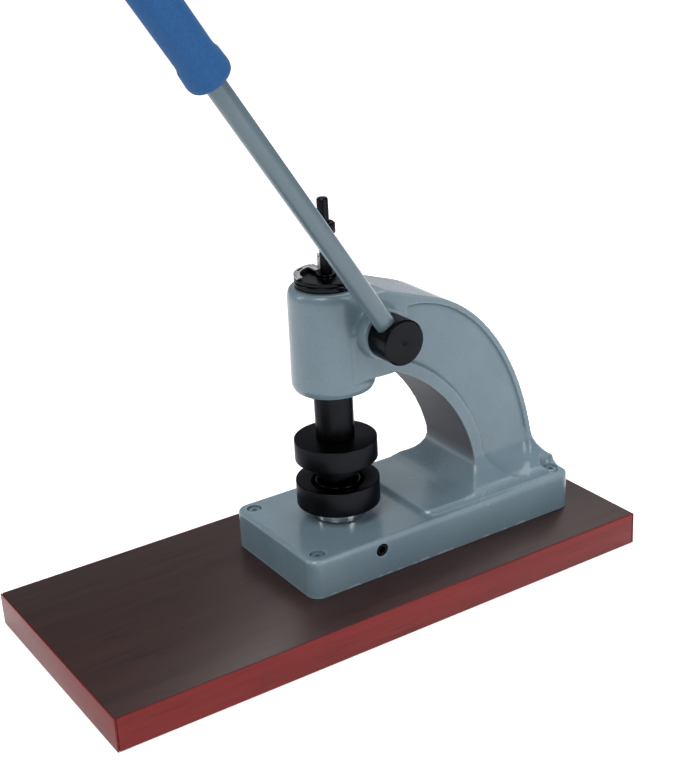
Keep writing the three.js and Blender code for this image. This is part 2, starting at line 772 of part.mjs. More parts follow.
// ---------------------------------------------------------------- bushes, cap and brake in the head
function buildHead() {
  const bushLow = headBottom + 1.2;
  const bush = tubeProfile(ramRadius + runningGap, ramBushRadius, bushLow, bushLow + ramBushLength);
  add("ram_bush", turned(bush, 0, ramY), bronze);

  const ringLow = headTop + seatGap;
  const ringHigh = ringLow + lockRingHeight;
  const skirtRadius = headBore - boltGap;
  const lockRing = tubeProfile(skirtRadius + boltGap, capRadius, ringLow, ringHigh);
  add("cap_lock_ring", turned(lockRing, 0, ramY), blackOxide);

  const discLow = ringHigh + seatGap;
  const rimTop = discLow + capThickness;
  const rodHole = stopRodRadius + runningGap;
  const cap = turned([
    [rodHole, discLow - 1],
    [skirtRadius - skirtWall, discLow - 1],
    [skirtRadius - skirtWall, headTop - skirtLength],
    [skirtRadius, headTop - skirtLength],
    [skirtRadius, discLow],
    [capRadius, discLow],
    [capRadius, rimTop - 0.4],
    [capRadius - 0.4, rimTop],
    [capRadius - capRimWidth, rimTop],
    [capRadius - capRimWidth, rimTop - capRecess],
    [capBossRadius, rimTop - capRecess],
    [capBossRadius, rimTop + capBossHeight],
    [rodHole, rimTop + capBossHeight],
    [rodHole, discLow - 1],
  ], 0, ramY);
  add("head_cap", cap, blackOxide);

  const plateLow = rimTop + seatGap;
  const plateHigh = plateLow + plateThickness;
  const sector = new THREE.Shape();
  const [start, end] = [THREE.MathUtils.degToRad(178), THREE.MathUtils.degToRad(266)];
  sector.absarc(0, ramY, capRadius, start, end, false);
  sector.absarc(0, ramY, capRadius - plateWidth, end, start, true);
  const slot = new THREE.Shape();
  const [slotStart, slotEnd] = [THREE.MathUtils.degToRad(202), THREE.MathUtils.degToRad(222)];
  slot.absarc(0, ramY, capRadius - plateWidth * 0.3, slotStart, slotEnd, false);
  slot.absarc(0, ramY, capRadius - plateWidth * 0.75, slotEnd, slotStart, true);
  const tongueEnd = capBossRadius + 1;
  const tongueBack = ramY + tongueWidth / 2;
  const tongue = box(-capRadius + 1, -tongueEnd, ramY - tongueWidth / 2, tongueBack, plateLow, plateHigh);
  const lugX = -tongueEnd - lugWidth;
  const lug = box(lugX, -tongueEnd, tongueBack - plateThickness, tongueBack, plateLow, plateLow + lugHeight);
  const holeBar = new THREE.CylinderGeometry(lugHole, lugHole, 10, 16);
  const hole = solid(holeBar, moved(lugX + lugWidth / 2, tongueBack, plateLow + lugHeight - lugHole - 1));
  const plate = slabUpright(sector, plateLow, plateHigh, 12)
    .add(tongue)
    .add(lug)
    .subtract(slabUpright(slot, plateLow - 1, plateHigh + 1, 4))
    .subtract(hole);
  add("cap_lock_plate", plate, greySheet);

  const brakeZ = boardTop + brakeHeight;
  const padTip = -ramRadius - seatGap;
  const padBack = padTip - brakePadLength;
  add("ram_brake_pad", alongX(brakePadRadius, padBack, padTip, ramY, brakeZ, ringCoarse), nylon);
  const brake = setScrew(brakeScrewRadius, padBack - seatGap, 1 - headTopRadius, ramY, brakeZ);
  add("ram_brake_screw", brake, blackOxide);
}

// ---------------------------------------------------------------- pinion shaft, hub, lever and grip
function buildLever() {
  const shaftEnd = hubEnd - hubFloor;
  const washerX = -leftBossX - seatGap;
  const ringX = washerX - ringThickness - seatGap;
  const farEnd = ringX - ringThickness - 2;
  const grooveRadius = shaftRadius - 1;
  const swing = THREE.MathUtils.degToRad(90 - leverAngle);
  const pinZone = new THREE.Matrix4().makeRotationX(swing);
  const atHub = moved(leverX, pinionY, pinionZ).multiply(pinZone);
  const crossBar = (radius, from, to, segments) =>
    solid(new THREE.CylinderGeometry(radius, radius, to - from, segments),
      atHub.clone().multiply(moved(0, 0, (from + to) / 2)).multiply(uprightToY));
  const pinTip = -(hubRadius - 0.4);
  const pinRoot = -(shaftRadius - 4);

  const groove = alongX(shaftRadius + 2, ringX - ringThickness - 0.15, ringX + 0.15, pinionY, pinionZ)
    .subtract(alongX(grooveRadius, ringX - 5, ringX + 5, pinionY, pinionZ));
  const pinion = solid(
    new THREE.ExtrudeGeometry(pinionShape(), { depth: pinionWidth, bevelEnabled: false }),
    moved(-pinionWidth / 2, pinionY, pinionZ).multiply(shapeToYZ),
  );
  const bushFrom = pinionWidth / 2 + shaftShoulder;
  const shaft = alongX(shaftCore, -bushFrom, bushFrom, pinionY, pinionZ)
    .add(alongX(shaftRadius, farEnd, -bushFrom, pinionY, pinionZ))
    .add(alongX(shaftRadius, bushFrom, shaftEnd, pinionY, pinionZ))
    .add(pinion)
    .subtract(groove)
    .subtract(crossBar(hubPinRadius + boltGap, pinTip - 3, pinRoot + boltGap, 16));
  add("pinion_shaft", shaft, steel);

  const bushInner = shaftRadius + runningGap;
  for (const [side, from, to] of [
    ["right", bushFrom, rightBossX - bushFlush],
    ["left", bushFlush - leftBossX, -bushFrom],
  ]) {
    const bush = alongX(shaftBushRadius, from, to, pinionY, pinionZ)
      .subtract(alongX(bushInner, from - 1, to + 1, pinionY, pinionZ));
    add(`shaft_bush_${side}`, bush, bronze);
  }

  const washerRadius = shaftBushRadius + washerLap;
  const washer = alongX(washerRadius, washerX - ringThickness, washerX, pinionY, pinionZ)
    .subtract(alongX(bushInner, washerX - 5, washerX + 1, pinionY, pinionZ));
  add("shaft_washer", washer, steel);
  const retaining = alongX(shaftRadius + 2.5, ringX - ringThickness, ringX, pinionY, pinionZ)
    .subtract(alongX(grooveRadius + 0.25, ringX - 5, ringX + 1, pinionY, pinionZ))
    .subtract(box(ringX - 5, ringX + 1, pinionY - 2, pinionY + 2, pinionZ - shaftRadius - 5, pinionZ));
  add("shaft_retaining_ring", retaining, steel);

  const hubBar = new THREE.LatheGeometry(
    [
      [0, hubStart],
      [hubRadius - hubChamfer, hubStart],
      [hubRadius, hubStart + hubChamfer],
      [hubRadius, hubEnd - hubChamfer],
      [hubRadius - hubChamfer, hubEnd],
      [1.3, hubEnd],
      [0, hubEnd - 1.3],
    ].map(([r, x]) => new THREE.Vector2(r, x)),
    ringFine,
  );
  const yToX = new THREE.Matrix4().makeRotationZ(-Math.PI / 2);
  const hub = solid(hubBar, moved(0, pinionY, pinionZ).multiply(yToX))
    .subtract(alongX(shaftRadius + boltGap, hubStart - 1, shaftEnd + seatGap, pinionY, pinionZ))
    .subtract(crossBar(leverRadius + boltGap, 0, hubRadius + 5, ringSmall))
    .subtract(crossBar(hubPinRadius + boltGap, pinTip - 3, 0, 16));
  add("lever_hub", hub, blackOxide);
  add("hub_pin", crossBar(hubPinRadius, pinTip, pinRoot, 16), steel);

  const lever = new THREE.Group();
  lever.position.set(leverX, pinionY, pinionZ);
  lever.rotation.x = swing;
  press.add(lever);
  const rodStart = shaftRadius + boltGap + seatGap;
  add("lever_rod", upright(leverRadius, rodStart, leverLength, 0, 0, ringSmall), paintedIron, lever);
  const bore = leverRadius + boltGap;
  const boreEnd = leverLength + seatGap;
  const gripEnd = boreEnd + gripEndWall;
  const bulgeTop = gripStart + gripBulgeLength;
  const grip = turned([
    [0, boreEnd],
    [bore, boreEnd],
    [bore, gripStart],
    [gripBulge - 3, gripStart],
    [gripBulge - 0.7, gripStart + 1.5],
    [gripBulge, gripStart + 4],
    [gripBulge, bulgeTop - 5],
    [gripRadius, bulgeTop],
    [gripRadius + 0.4, gripEnd - 6],
    [gripRadius - 1.6, gripEnd - 2],
    [gripRadius - 5, gripEnd],
    [0, gripEnd],
  ], 0, 0, ringSmall);
  add("grip", grip, foam, lever);
}

buildBoard();
buildFrame();
buildLowerDie();
buildRam();
buildHead();
buildLever();

export default press;
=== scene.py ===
"""The finished pieces of a hand press that sets grommets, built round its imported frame."""

import math

import bpy
import numpy as np
from bpy.props import FloatProperty, FloatVectorProperty, IntProperty, PointerProperty
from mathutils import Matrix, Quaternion, Vector


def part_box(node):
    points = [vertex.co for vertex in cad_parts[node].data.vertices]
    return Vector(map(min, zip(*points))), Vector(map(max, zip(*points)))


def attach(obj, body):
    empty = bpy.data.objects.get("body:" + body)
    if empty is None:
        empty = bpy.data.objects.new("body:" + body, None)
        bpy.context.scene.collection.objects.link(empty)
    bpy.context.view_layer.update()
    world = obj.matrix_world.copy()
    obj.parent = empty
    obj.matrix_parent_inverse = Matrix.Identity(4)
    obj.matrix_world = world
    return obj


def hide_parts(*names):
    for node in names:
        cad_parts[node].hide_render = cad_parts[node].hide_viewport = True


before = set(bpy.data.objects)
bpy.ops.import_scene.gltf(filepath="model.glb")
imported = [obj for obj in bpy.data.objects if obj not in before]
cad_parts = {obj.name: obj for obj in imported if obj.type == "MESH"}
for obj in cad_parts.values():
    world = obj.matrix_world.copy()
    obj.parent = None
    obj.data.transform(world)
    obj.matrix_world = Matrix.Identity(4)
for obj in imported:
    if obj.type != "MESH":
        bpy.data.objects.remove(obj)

bl_info = {
    "name": "Grommet Press",
    "version": (1, 0, 0),
    "blender": (4, 5, 0),
    "location": "View3D > Sidebar > Press",
    "description": "Finished pieces and studio for a hand press that sets grommets",
    "category": "Object",
}

MM = 0.001
X = Vector((1, 0, 0))
Y = Vector((0, 1, 0))
Z = Vector((0, 0, 1))
TURN = 2 * math.pi
ROUND_STEPS = 96  # facets round a turned part
SMALL_STEPS = 48  # and round a small one
FIT = 0.3 * MM  # clearance between a hole and what fills it


# ---------------------------------------------------------------- places taken from the frame


def centre_of(node):
    """The middle of a node's box."""
    low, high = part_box(node)
    return (low + high) / 2


def size_of(node):
    """The sides of a node's box."""
    low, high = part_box(node)
    return high - low


RAM_LINE = Vector((0, centre_of("upper_die").y, 0))  # the ram's vertical axis, at height 0
PIVOT_LINE = Vector((0, centre_of("lever_hub").y, centre_of("lever_hub").z))
LEVER_FOOT = PIVOT_LINE + X * centre_of("lever_rod").x
LEVER_WAY = (centre_of("lever_rod") - LEVER_FOOT).normalized()
THROAT_CENTRE = (0, 46.3 * MM)  # in Y and Z
THROAT_RADIUS = 95.6 * MM
BASE_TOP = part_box("die_post")[0].z + 17 * MM  # the base's flat top, over the post's foot
POST_SHANK = 10 * MM  # radius of the die post inside the base
SCREW_SHANK = 2.5 * MM  # radius of a base screw below its head
SCREW_HEAD = 2.6 * MM  # and the height of that head


# ---------------------------------------------------------------- modelling helpers


def deselect():
    """Leaves edit mode and selects nothing."""
    if bpy.context.mode != "OBJECT":
        bpy.ops.object.mode_set(mode="OBJECT")
    bpy.ops.object.select_all(action="DESELECT")


def focus(piece):
    """Makes a piece the only one selected and the active one."""
    deselect()
    piece.select_set(True)
    bpy.context.view_layer.objects.active = piece


def start(primitive, name, **place):
    """Adds a primitive at its place, names it and puts the place into its mesh."""
    deselect()
    primitive(**place)
    piece = bpy.context.object
    piece.name = name
    piece.data.name = name
    bpy.ops.object.transform_apply(location=True, rotation=True, scale=True)
    return piece


def block(name, low, high):
    """A block between two corners."""
    low, high = Vector(low), Vector(high)
    place = {"size": 1, "location": (low + high) / 2, "scale": high - low}
    return start(bpy.ops.mesh.primitive_cube_add, name, **place)


def rod(name, radius, begin, end, steps=ROUND_STEPS):
    """A round bar from one point to another."""
    way = end - begin
    turn = Z.rotation_difference(way).to_euler()
    place = {"location": (begin + end) / 2, "rotation": turn}
    shape = {"vertices": steps, "radius": radius, "depth": way.length}
    return start(bpy.ops.mesh.primitive_cylinder_add, name, **shape, **place)


def turned(name, profile, origin, way, steps=ROUND_STEPS, closed=False):
    """Draws a profile of (radius, height) points and spins it about the line through origin."""
    out = way.orthogonal().normalized()
    points = [origin + out * radius + way * height for radius, height in profile]
    if closed:
        points.append(points[0])
    piece = start(bpy.ops.mesh.primitive_plane_add, name, size=MM, location=points[0])
    bpy.ops.object.mode_set(mode="EDIT")
    bpy.ops.mesh.select_mode(type="VERT")
    bpy.ops.mesh.select_all(action="SELECT")
    bpy.ops.mesh.merge(type="CENTER")
    for here, there in zip(points, points[1:]):
        bpy.ops.mesh.extrude_region_move(TRANSFORM_OT_translate={"value": there - here})
    bpy.ops.mesh.select_all(action="SELECT")
    bpy.ops.mesh.spin(steps=steps, angle=TURN, center=origin, axis=way)
    tidy_up(piece)
    return piece


def tidy_up(piece):
    """Merges doubled points and turns every face outwards."""
    focus(piece)
    bpy.ops.object.mode_set(mode="EDIT")
    bpy.ops.mesh.select_all(action="SELECT")
    bpy.ops.mesh.remove_doubles(threshold=0.001 * MM)
    bpy.ops.mesh.normals_make_consistent(inside=False)
    bpy.ops.object.mode_set(mode="OBJECT")


def modify(piece, kind, **settings):
    """Adds a modifier with these settings and applies it."""
    focus(piece)
    modifier = piece.modifiers.new(kind.lower(), kind)
    for key, value in settings.items():
        setattr(modifier, key, value)
    bpy.ops.object.modifier_apply(modifier=modifier.name)


def bevel(piece, width, segments=3, angle=30):
    """Rounds every edge sharper than the angle."""
    limit = {"limit_method": "ANGLE", "angle_limit": math.radians(angle)}
    modify(piece, "BEVEL", width=width, segments=segments, **limit)


def cut(piece, *cutters, operation="DIFFERENCE"):
    """Cuts, joins or trims a piece with others, which are used up."""
    for cutter in cutters:
        modify(piece, "BOOLEAN", operation=operation, object=cutter, solver="EXACT")
        bpy.data.objects.remove(cutter)


def gather(piece, *others):
    """Joins other meshes into a piece's mesh as they are."""
    focus(piece)
    for other in others:
        other.select_set(True)
    bpy.ops.object.join()
    return piece


def copy_of(node, name):
    """A piece with a CAD node's mesh, its loose triangles merged."""
    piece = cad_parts[node].copy()
    piece.data = piece.data.copy()
    for key in list(piece.keys()):
        del piece[key]
    piece.name = name
    piece.data.name = name
    piece.parent = None
    bpy.context.scene.collection.objects.link(piece)
    tidy_up(piece)
    return piece


def worked_copy(node, name, edge, segments=2):
    """A CAD node's shape with its flat faces made whole and its edges broken."""
    piece = copy_of(node, name)
    modify(piece, "DECIMATE", decimate_type="DISSOLVE", angle_limit=math.radians(1))
    bevel(piece, edge, segments)
    return piece


def finished(piece, finish, body, slot, *nodes, angle=40):
    """Shades a piece, gives it its finish, and seats it on its body in place of its nodes."""
    focus(piece)
    bpy.ops.object.shade_smooth_by_angle(angle=math.radians(angle))
    piece.data.materials.clear()
    piece.data.materials.append(finish)
    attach(piece, body)
    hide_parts(*nodes)
    return piece


# ---------------------------------------------------------------- materials


class Wire:
    """A socket in a material's node tree. Arithmetic on it adds Math nodes."""

    def __init__(self, tree, socket=None):
        self.tree = tree
        self.socket = socket

    def node(self, kind, sockets=None, output=0, **settings):
        """Adds a node, sets its settings, fills or links its sockets, and returns an output."""
        made = self.tree.nodes.new(kind)
        for key, value in settings.items():
            if key == "stops":
                set_stops(made.color_ramp, value)
            else:
                setattr(made, key, value)
        for key, value in (sockets or {}).items():
            if isinstance(value, Wire):
                self.tree.links.new(value.socket, made.inputs[key])
            else:
                made.inputs[key].default_value = value
        return Wire(self.tree, made.outputs[output])

    def maths(self, operation, *values):
        """A Math node's result on wires and numbers."""
        return self.node("ShaderNodeMath", dict(enumerate(values)), operation=operation)

    def __add__(self, other):
        return self.maths("ADD", self, other)

    def __radd__(self, other):
        return self.maths("ADD", other, self)

    def __sub__(self, other):
        return self.maths("SUBTRACT", self, other)

    def __rsub__(self, other):
        return self.maths("SUBTRACT", other, self)

    def __mul__(self, other):
        return self.maths("MULTIPLY", self, other)

    def __rmul__(self, other):
        return self.maths("MULTIPLY", other, self)

    def __pow__(self, power):
        return self.maths("POWER", self, power)


def set_stops(ramp, stops):
    """Gives a colour ramp its (place, colour or grey) stops."""
    while len(ramp.elements) < len(stops):
        ramp.elements.new(1)
    for element, (place, value) in zip(ramp.elements, stops):
        element.position = place
        element.color = opaque(value if hasattr(value, "__len__") else (value,) * 3)


def opaque(colour):
    """A colour with its alpha."""
    return (*tuple(colour)[:3], 1.0)


def toned(colour, share):
    """A colour made darker, or lighter where the share is over 1."""
    return tuple(min(1, part * share) for part in colour)


def parts_of(place):
    """The X, Y and Z of a place, each as a value."""
    return [place.node("ShaderNodeSeparateXYZ", {"Vector": place}, output=k) for k in range(3)]


def noise(place, scale, detail=3.0, roughness=0.5, stretch=(1, 1, 1), offset=(0, 0, 0)):
    """Soft random value from 0 to 1, finer as the scale grows, stretched along the axes."""
    placed = place.node(
        "ShaderNodeMapping", {"Vector": place, "Scale": stretch, "Location": offset}
    )
    sockets = {"Vector": placed, "Scale": scale, "Detail": detail, "Roughness": roughness}
    return place.node("ShaderNodeTexNoise", sockets)


def mix(factor, first, second):
    """A colour from the first to the second as the factor goes from 0 to 1."""
    sockets = {0: factor}
    for socket, colour in ((6, first), (7, second)):
        sockets[socket] = colour if isinstance(colour, Wire) else opaque(colour)
    return factor.node("ShaderNodeMix", sockets, output=2, data_type="RGBA")


def ramp(value, *stops):
    """A value or colour read off a row of stops."""
    return value.node("ShaderNodeValToRGB", {"Fac": value}, stops=stops)


def new_finish(name, **numbers):
    """A material with fixed numbers on its shader, and a wire at its Object coordinates."""
    material = bpy.data.materials.new(name)
    material.use_nodes = True
    shader = material.node_tree.nodes["Principled BSDF"]
    for key, value in numbers.items():
        shader.inputs[key.replace("_", " ")].default_value = value
    place = Wire(material.node_tree).node("ShaderNodeTexCoord", output="Object")
    return material, place


def feed(material, colour=None, roughness=None, height=None, depth=None):
    """Links a finish's colour, roughness and relief, the relief depth in metres."""
    tree = material.node_tree
    shader = tree.nodes["Principled BSDF"]
    if height is not None:
        bump = height.node("ShaderNodeBump", {"Height": height, "Distance": depth})
        tree.links.new(bump.socket, shader.inputs["Normal"])
    if colour is not None:
        tree.links.new(colour.socket, shader.inputs["Base Color"])
    if roughness is not None:
        tree.links.new(roughness.socket, shader.inputs["Roughness"])
    return material


def turning_lines(place, pitch):
    """Fine rings round the ram's axis, as a lathe tool leaves them, from 0 to 1."""
    x, y, z = parts_of(place)
    across = y - RAM_LINE.y
    radius = (x * x + across * across) ** 0.5
    where = (radius + z) * (1 / pitch)
    return place.node(
        "ShaderNodeTexNoise", {"W": where, "Scale": 1.0, "Detail": 2.0}, noise_dimensions="1D"
    )


def enamel(name, colour, wear_and_highlight, shade, painted_throat_shadow=False):
    """Sprayed enamel over a casting: an uneven gloss, edges lighter from wear and painted highlight,
    painted shade in hollows, and painted shadow in the throat if asked.
    """
    material, place = new_finish(name, IOR=1.5)
    patches = noise(place, 18, 4, 0.55)
    specks = noise(place, 900, 2, 0.6)
    pointed = place.node("ShaderNodeNewGeometry", output="Pointiness")
    # Convex edges are lightened: partly edge wear, partly a painted highlight where the rounded edges
    # catch the light.
    edges = ramp(pointed, (0.505, 0.0), (0.56, 1.0))
    # Painted shade: concave hollows are darkened, towards a much darker enamel, where shade falls.
    hollows = ramp(pointed, (0.44, 1.0), (0.495, 0.0))
    tinted = mix(ramp(patches, (0.35, 0.0), (0.7, 1.0)), shade, colour)
    grained = mix(specks * 0.2, tinted, wear_and_highlight)
    lit = mix(edges * 0.45, grained, wear_and_highlight)
    done = mix(hollows * 0.5, lit, toned(shade, 0.3))
    roughness = 0.18 + patches * 0.14
    # Painted shadow: the throat's arc, where shadow falls inside the arm, is darkened and made rougher.
    if painted_throat_shadow:
        inside = within_throat(place)
        done = mix(inside * 0.85, done, (0.075, 0.07, 0.078))
        roughness = roughness + inside * 0.4
    orange_peel = noise(place, 260, 2, 0.5) + specks * 0.2
    return feed(material, done, roughness, orange_peel, 0.035 * MM)


def within_throat(place):
    """1 on the skin of the throat's arc, where its painted shadow goes, and 0 outside it."""
    _, y, z = parts_of(place)
    across, up = y - THROAT_CENTRE[0], z - THROAT_CENTRE[1]
    halved = 0.5 / THROAT_RADIUS  # keeps every place within a ramp's 0 to 1
    half = (across * across + up * up) ** 0.5 * halved
    near = ramp(half, (0.493, 0.0), (0.4965, 1.0), (0.5005, 1.0), (0.502, 0.0))
    above = ramp(z * halved, (0.25, 0.0), (0.36, 1.0))
    behind = ramp(y * halved, (0.17, 0.0), (0.195, 1.0))
    return near * above * behind


def blackened(name, colour, roughness):
    """Oil-blackened steel with faint turning lines and handling marks."""
    material, place = new_finish(name, Metallic=1.0, Specular_Tint=opaque((0.6, 0.6, 0.62)))
    lines = turning_lines(place, 0.18 * MM)
    marks = noise(place, 60, 5, 0.6)
    tone = mix(marks, toned(colour, 0.7), toned(colour, 1.35))
    rough = roughness - 0.08 + marks * 0.16
    return feed(material, tone, rough, lines * 0.6 + marks * 0.4, 0.006 * MM)


def bright_metal(name, colour, roughness):
    """Turned or plated metal with fine lines and a slightly uneven shine."""
    material, place = new_finish(name, Metallic=1.0)
    lines = turning_lines(place, 0.12 * MM)
    marks = noise(place, 80, 4, 0.6)
    tone = mix(marks, toned(colour, 0.85), colour)
    return feed(material, tone, roughness + marks * 0.1, lines, 0.003 * MM)


def moulded(name, colour, roughness, grain, depth):
    """Moulded plastic, rubber or foam with a fine pebbled skin."""
    material, place = new_finish(name, IOR=1.45)
    pebbles = noise(place, grain, 3, 0.6)
    cloud = noise(place, 40, 3, 0.5)
    spots = ramp(pebbles, (0.38, 0.0), (0.62, 1.0))
    tone = mix(spots * 0.45, colour, toned(colour, 0.62))
    tone = mix(cloud * 0.35, tone, toned(colour, 1.25))
    return feed(material, tone, roughness + cloud * 0.1, pebbles, depth)


def printed_wood(name, dark, light, roughness, stretch, streak=1.0, shine=0.5):
    """Laminate or edge band printed with straight grain, under a clear lacquer."""
    material, place = new_finish(name, IOR=1.5, Specular_IOR_Level=shine)
    broad = noise(place, 22, 4, 0.55, stretch)
    fine = noise(place, 160, 4, 0.65, stretch, (0.3, 0.1, 0.2))
    pores = noise(place, 520, 2, 0.5, stretch, (0.7, 0.4, 0.1))
    grain = ramp(broad * 0.6 + fine * 0.4, (0.34, 0.0), (0.66, 1.0))
    tone = mix(grain, dark, light)
    flecks = ramp(pores, (0.55, 0.0), (0.72, 1.0))
    tone = mix(flecks * (0.5 * streak), tone, toned(dark, 0.5))
    return feed(material, tone, roughness + broad * 0.12, fine + pores * 0.5, 0.02 * MM)


def chipboard(name, pale, dark):
    """Pressed wood chips, cut and sanded."""
    material, place = new_finish(name, Roughness=0.85)
    chips = place.node(
        "ShaderNodeTexVoronoi", {"Vector": place, "Scale": 420.0}, output="Color"
    )
    tone = mix(chips.node("ShaderNodeRGBToBW", {"Color": chips}), pale, dark)
    height = noise(place, 800, 3, 0.6)
    return feed(material, tone, None, height, 0.1 * MM)


class Finishes:
    """The press's materials, made once and shared by its pieces."""

    made = {}

    @classmethod
    def get(cls, name):
        """The material of this name, made when it is first asked for."""
        settings = bpy.context.scene.press_finishes
        if name not in cls.made:
            cls.made[name] = cls.makers[name](settings)
        return cls.made[name]

    makers = {
        "cast_enamel": lambda s: enamel(
            "cast_enamel", s.enamel, s.enamel_wear_and_highlight, s.enamel_shade, painted_throat_shadow=True
        ),
        # Painted shade: the lever wears the casting's enamel, made darker as a shaded copy of it.
        "shaded_lever_enamel": lambda s: enamel(
            "shaded_lever_enamel", toned(s.enamel, 0.75), s.enamel, toned(s.enamel, 0.7)
        ),
        # Painted shade: the base screws wear the casting's enamel, made darker as painted shade in their
        # seats.
        "screw_enamel": lambda s: enamel(
            "screw_enamel", toned(s.enamel, 0.55), s.enamel, s.enamel_shade
        ),
        "black": lambda s: blackened("blackened_steel", s.black, 0.34),
        "grey_sheet": lambda s: bright_metal("grey_sheet", s.sheet, 0.4),
        "plated": lambda s: bright_metal("plated_steel", (0.78, 0.78, 0.8), 0.08),
        "steel": lambda s: bright_metal("turned_steel", (0.52, 0.52, 0.54), 0.28),
        "bronze": lambda s: bright_metal("bronze", (0.55, 0.34, 0.14), 0.35),
        "nylon": lambda s: moulded("nylon", (0.75, 0.73, 0.66), 0.5, 700, 0.01 * MM),
        "black_gloss": lambda s: blackened("blackened_gloss", s.black, 0.22),
        "grip": lambda s: moulded("blue_grip", s.grip, 0.7, 620, 0.12 * MM),
        "top": lambda s: printed_wood("board_top", s.top_dark, s.top_light, 0.27, (1, 0.05, 1)),
        "edge_long": lambda s: printed_wood(
            "edge_long", s.edge_dark, s.edge_light, 0.3, (1, 0.06, 1), 0.6, 0.2
        ),
        "edge_short": lambda s: printed_wood(
            "edge_short", s.edge_dark, s.edge_light, 0.3, (0.06, 1, 1), 0.6, 0.2
        ),
        "chipboard": lambda s: chipboard("chipboard", (0.45, 0.33, 0.2), (0.22, 0.14, 0.08)),
    }


# ---------------------------------------------------------------- settings


def colour_property(name, description, default):
    """A colour that the user can change."""
    return FloatVectorProperty(
        name=name, description=description, default=default, size=3, min=0, max=1, subtype="COLOR"
    )


def length_property(name, description, default):
    """A length that the user can change, in metres."""
    return FloatProperty(
        name=name, description=description, default=default, min=0, unit="LENGTH", precision=5
    )


class PressFinishes(bpy.types.PropertyGroup):
    """The press's colours."""

    enamel: colour_property("Enamel", "Colour of the painted castings", (0.113, 0.165, 0.2))
    # The edges' colour is partly edge wear and partly a painted highlight; the specks use it too.
    enamel_wear_and_highlight: colour_property("Worn enamel", "Colour at the rubbed edges", (0.27, 0.35, 0.39))
    # Much darker, this colour also gives the painted shade in the hollows.
    enamel_shade: colour_property("Enamel shade", "Darker patches of the paint", (0.084, 0.13, 0.165))
    black: colour_property("Black", "Colour of the blackened steel", (0.013, 0.014, 0.016))
    sheet: colour_property("Sheet", "Colour of the lock plate", (0.42, 0.42, 0.45))
    grip: colour_property("Grip", "Colour of the lever's grip", (0.004, 0.07, 0.215))
    top_dark: colour_property("Top, dark", "Dark grain of the board's top", (0.013, 0.005, 0.005))
    top_light: colour_property("Top, light", "Light grain of the board's top", (0.034, 0.013, 0.012))
    edge_dark: colour_property("Edge, dark", "Dark grain of the board's edge", (0.07, 0.004, 0.004))
    edge_light: colour_property("Edge, light", "Light grain of the board's edge", (0.16, 0.012, 0.012))


class PressSizes(bpy.types.PropertyGroup):
    """The small sizes that the finished pieces add to the frame's."""

    voxel: length_property("Casting detail", "Size of the casting's facets", 0.8 * MM)
    cast_passes: IntProperty(
        name="Cast rounding", description="Smoothing passes over the whole casting", default=5, min=0
    )
    fillet_passes: IntProperty(
        name="Fillet passes", description="Further passes in the casting's fillets", default=45, min=0
    )
    broken_edge: length_property("Broken edge", "Chamfer on machined edges", 0.35 * MM)
    band_edge: length_property("Band edge", "Rounding of the board's edge band", 0.45 * MM)
    floor: length_property("Floor", "Width of the studio floor", 6.0)


class PressCamera(bpy.types.PropertyGroup):
    """Where the camera stands and what it sees."""

    azimuth: FloatProperty(
        name="Azimuth", description="Turn round the press", default=math.radians(57.959), subtype="ANGLE"
    )
    elevation: FloatProperty(
        name="Elevation", description="Height above the horizon", default=math.radians(22.452),
        subtype="ANGLE",
    )
    roll: FloatProperty(
        name="Roll", description="Tilt of the camera", default=math.radians(-3.1207), subtype="ANGLE"
    )
    distance: length_property("Distance", "From the point that it looks at", 0.8407)
    aim_back: length_property("Aim", "The point looked at, behind the origin", 0.0158)
    aim_height: length_property("Aim height", "The point looked at, above the floor", 0.1256)
    lens: FloatProperty(
        name="Lens", description="Focal length", default=68.526, min=1, subtype="DISTANCE_CAMERA"
    )


# ---------------------------------------------------------------- pieces


def dress(finish, *nodes):
    """Gives CAD nodes that stay visible their finish."""
    for node in nodes:
        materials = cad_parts[node].data.materials
        materials.clear()
        materials.append(Finishes.get(finish))


def along_x(name, radius, from_x, to_x, y, z, steps=SMALL_STEPS):
    """A round bar along X."""
    return rod(name, radius, Vector((from_x, y, z)), Vector((to_x, y, z)), steps)


class PieceOperator:
    """What the operators share: each one builds its pieces from the sizes."""

    bl_options = {"REGISTER", "UNDO"}

    def execute(self, context):
        self.build(context.scene.press_sizes)
        return {"FINISHED"}


class PRESS_OT_board(PieceOperator, bpy.types.Operator):
    """Build the board: its laminated top and four edge bands"""

    bl_idname = "press.board"
    bl_label = "Board"

    def build(self, sizes):
        low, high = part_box("board_top_laminate")
        spread = Vector((FIT * 0.9, FIT * 0.9, 0))
        top = block("board_top", low - spread, high + spread)
        bevel(top, 0.12 * MM, 2)
        finished(top, Finishes.get("top"), "stand", "wood_laminate", "board_top_laminate")
        for side in ("front", "rear", "left", "right"):
            node = f"edge_band_{side}"
            low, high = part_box(node)
            band = block(f"band_{side}", low, high)
            bevel(band, sizes.band_edge, 3)
            run = "edge_long" if side in ("left", "right") else "edge_short"
            finished(band, Finishes.get(run), "stand", "mahogany_band", node)
        dress("chipboard", "board_core")


SCREW_NODES = [f"base_screw_{end}_{side}" for end in ("front", "rear") for side in ("left", "right")]


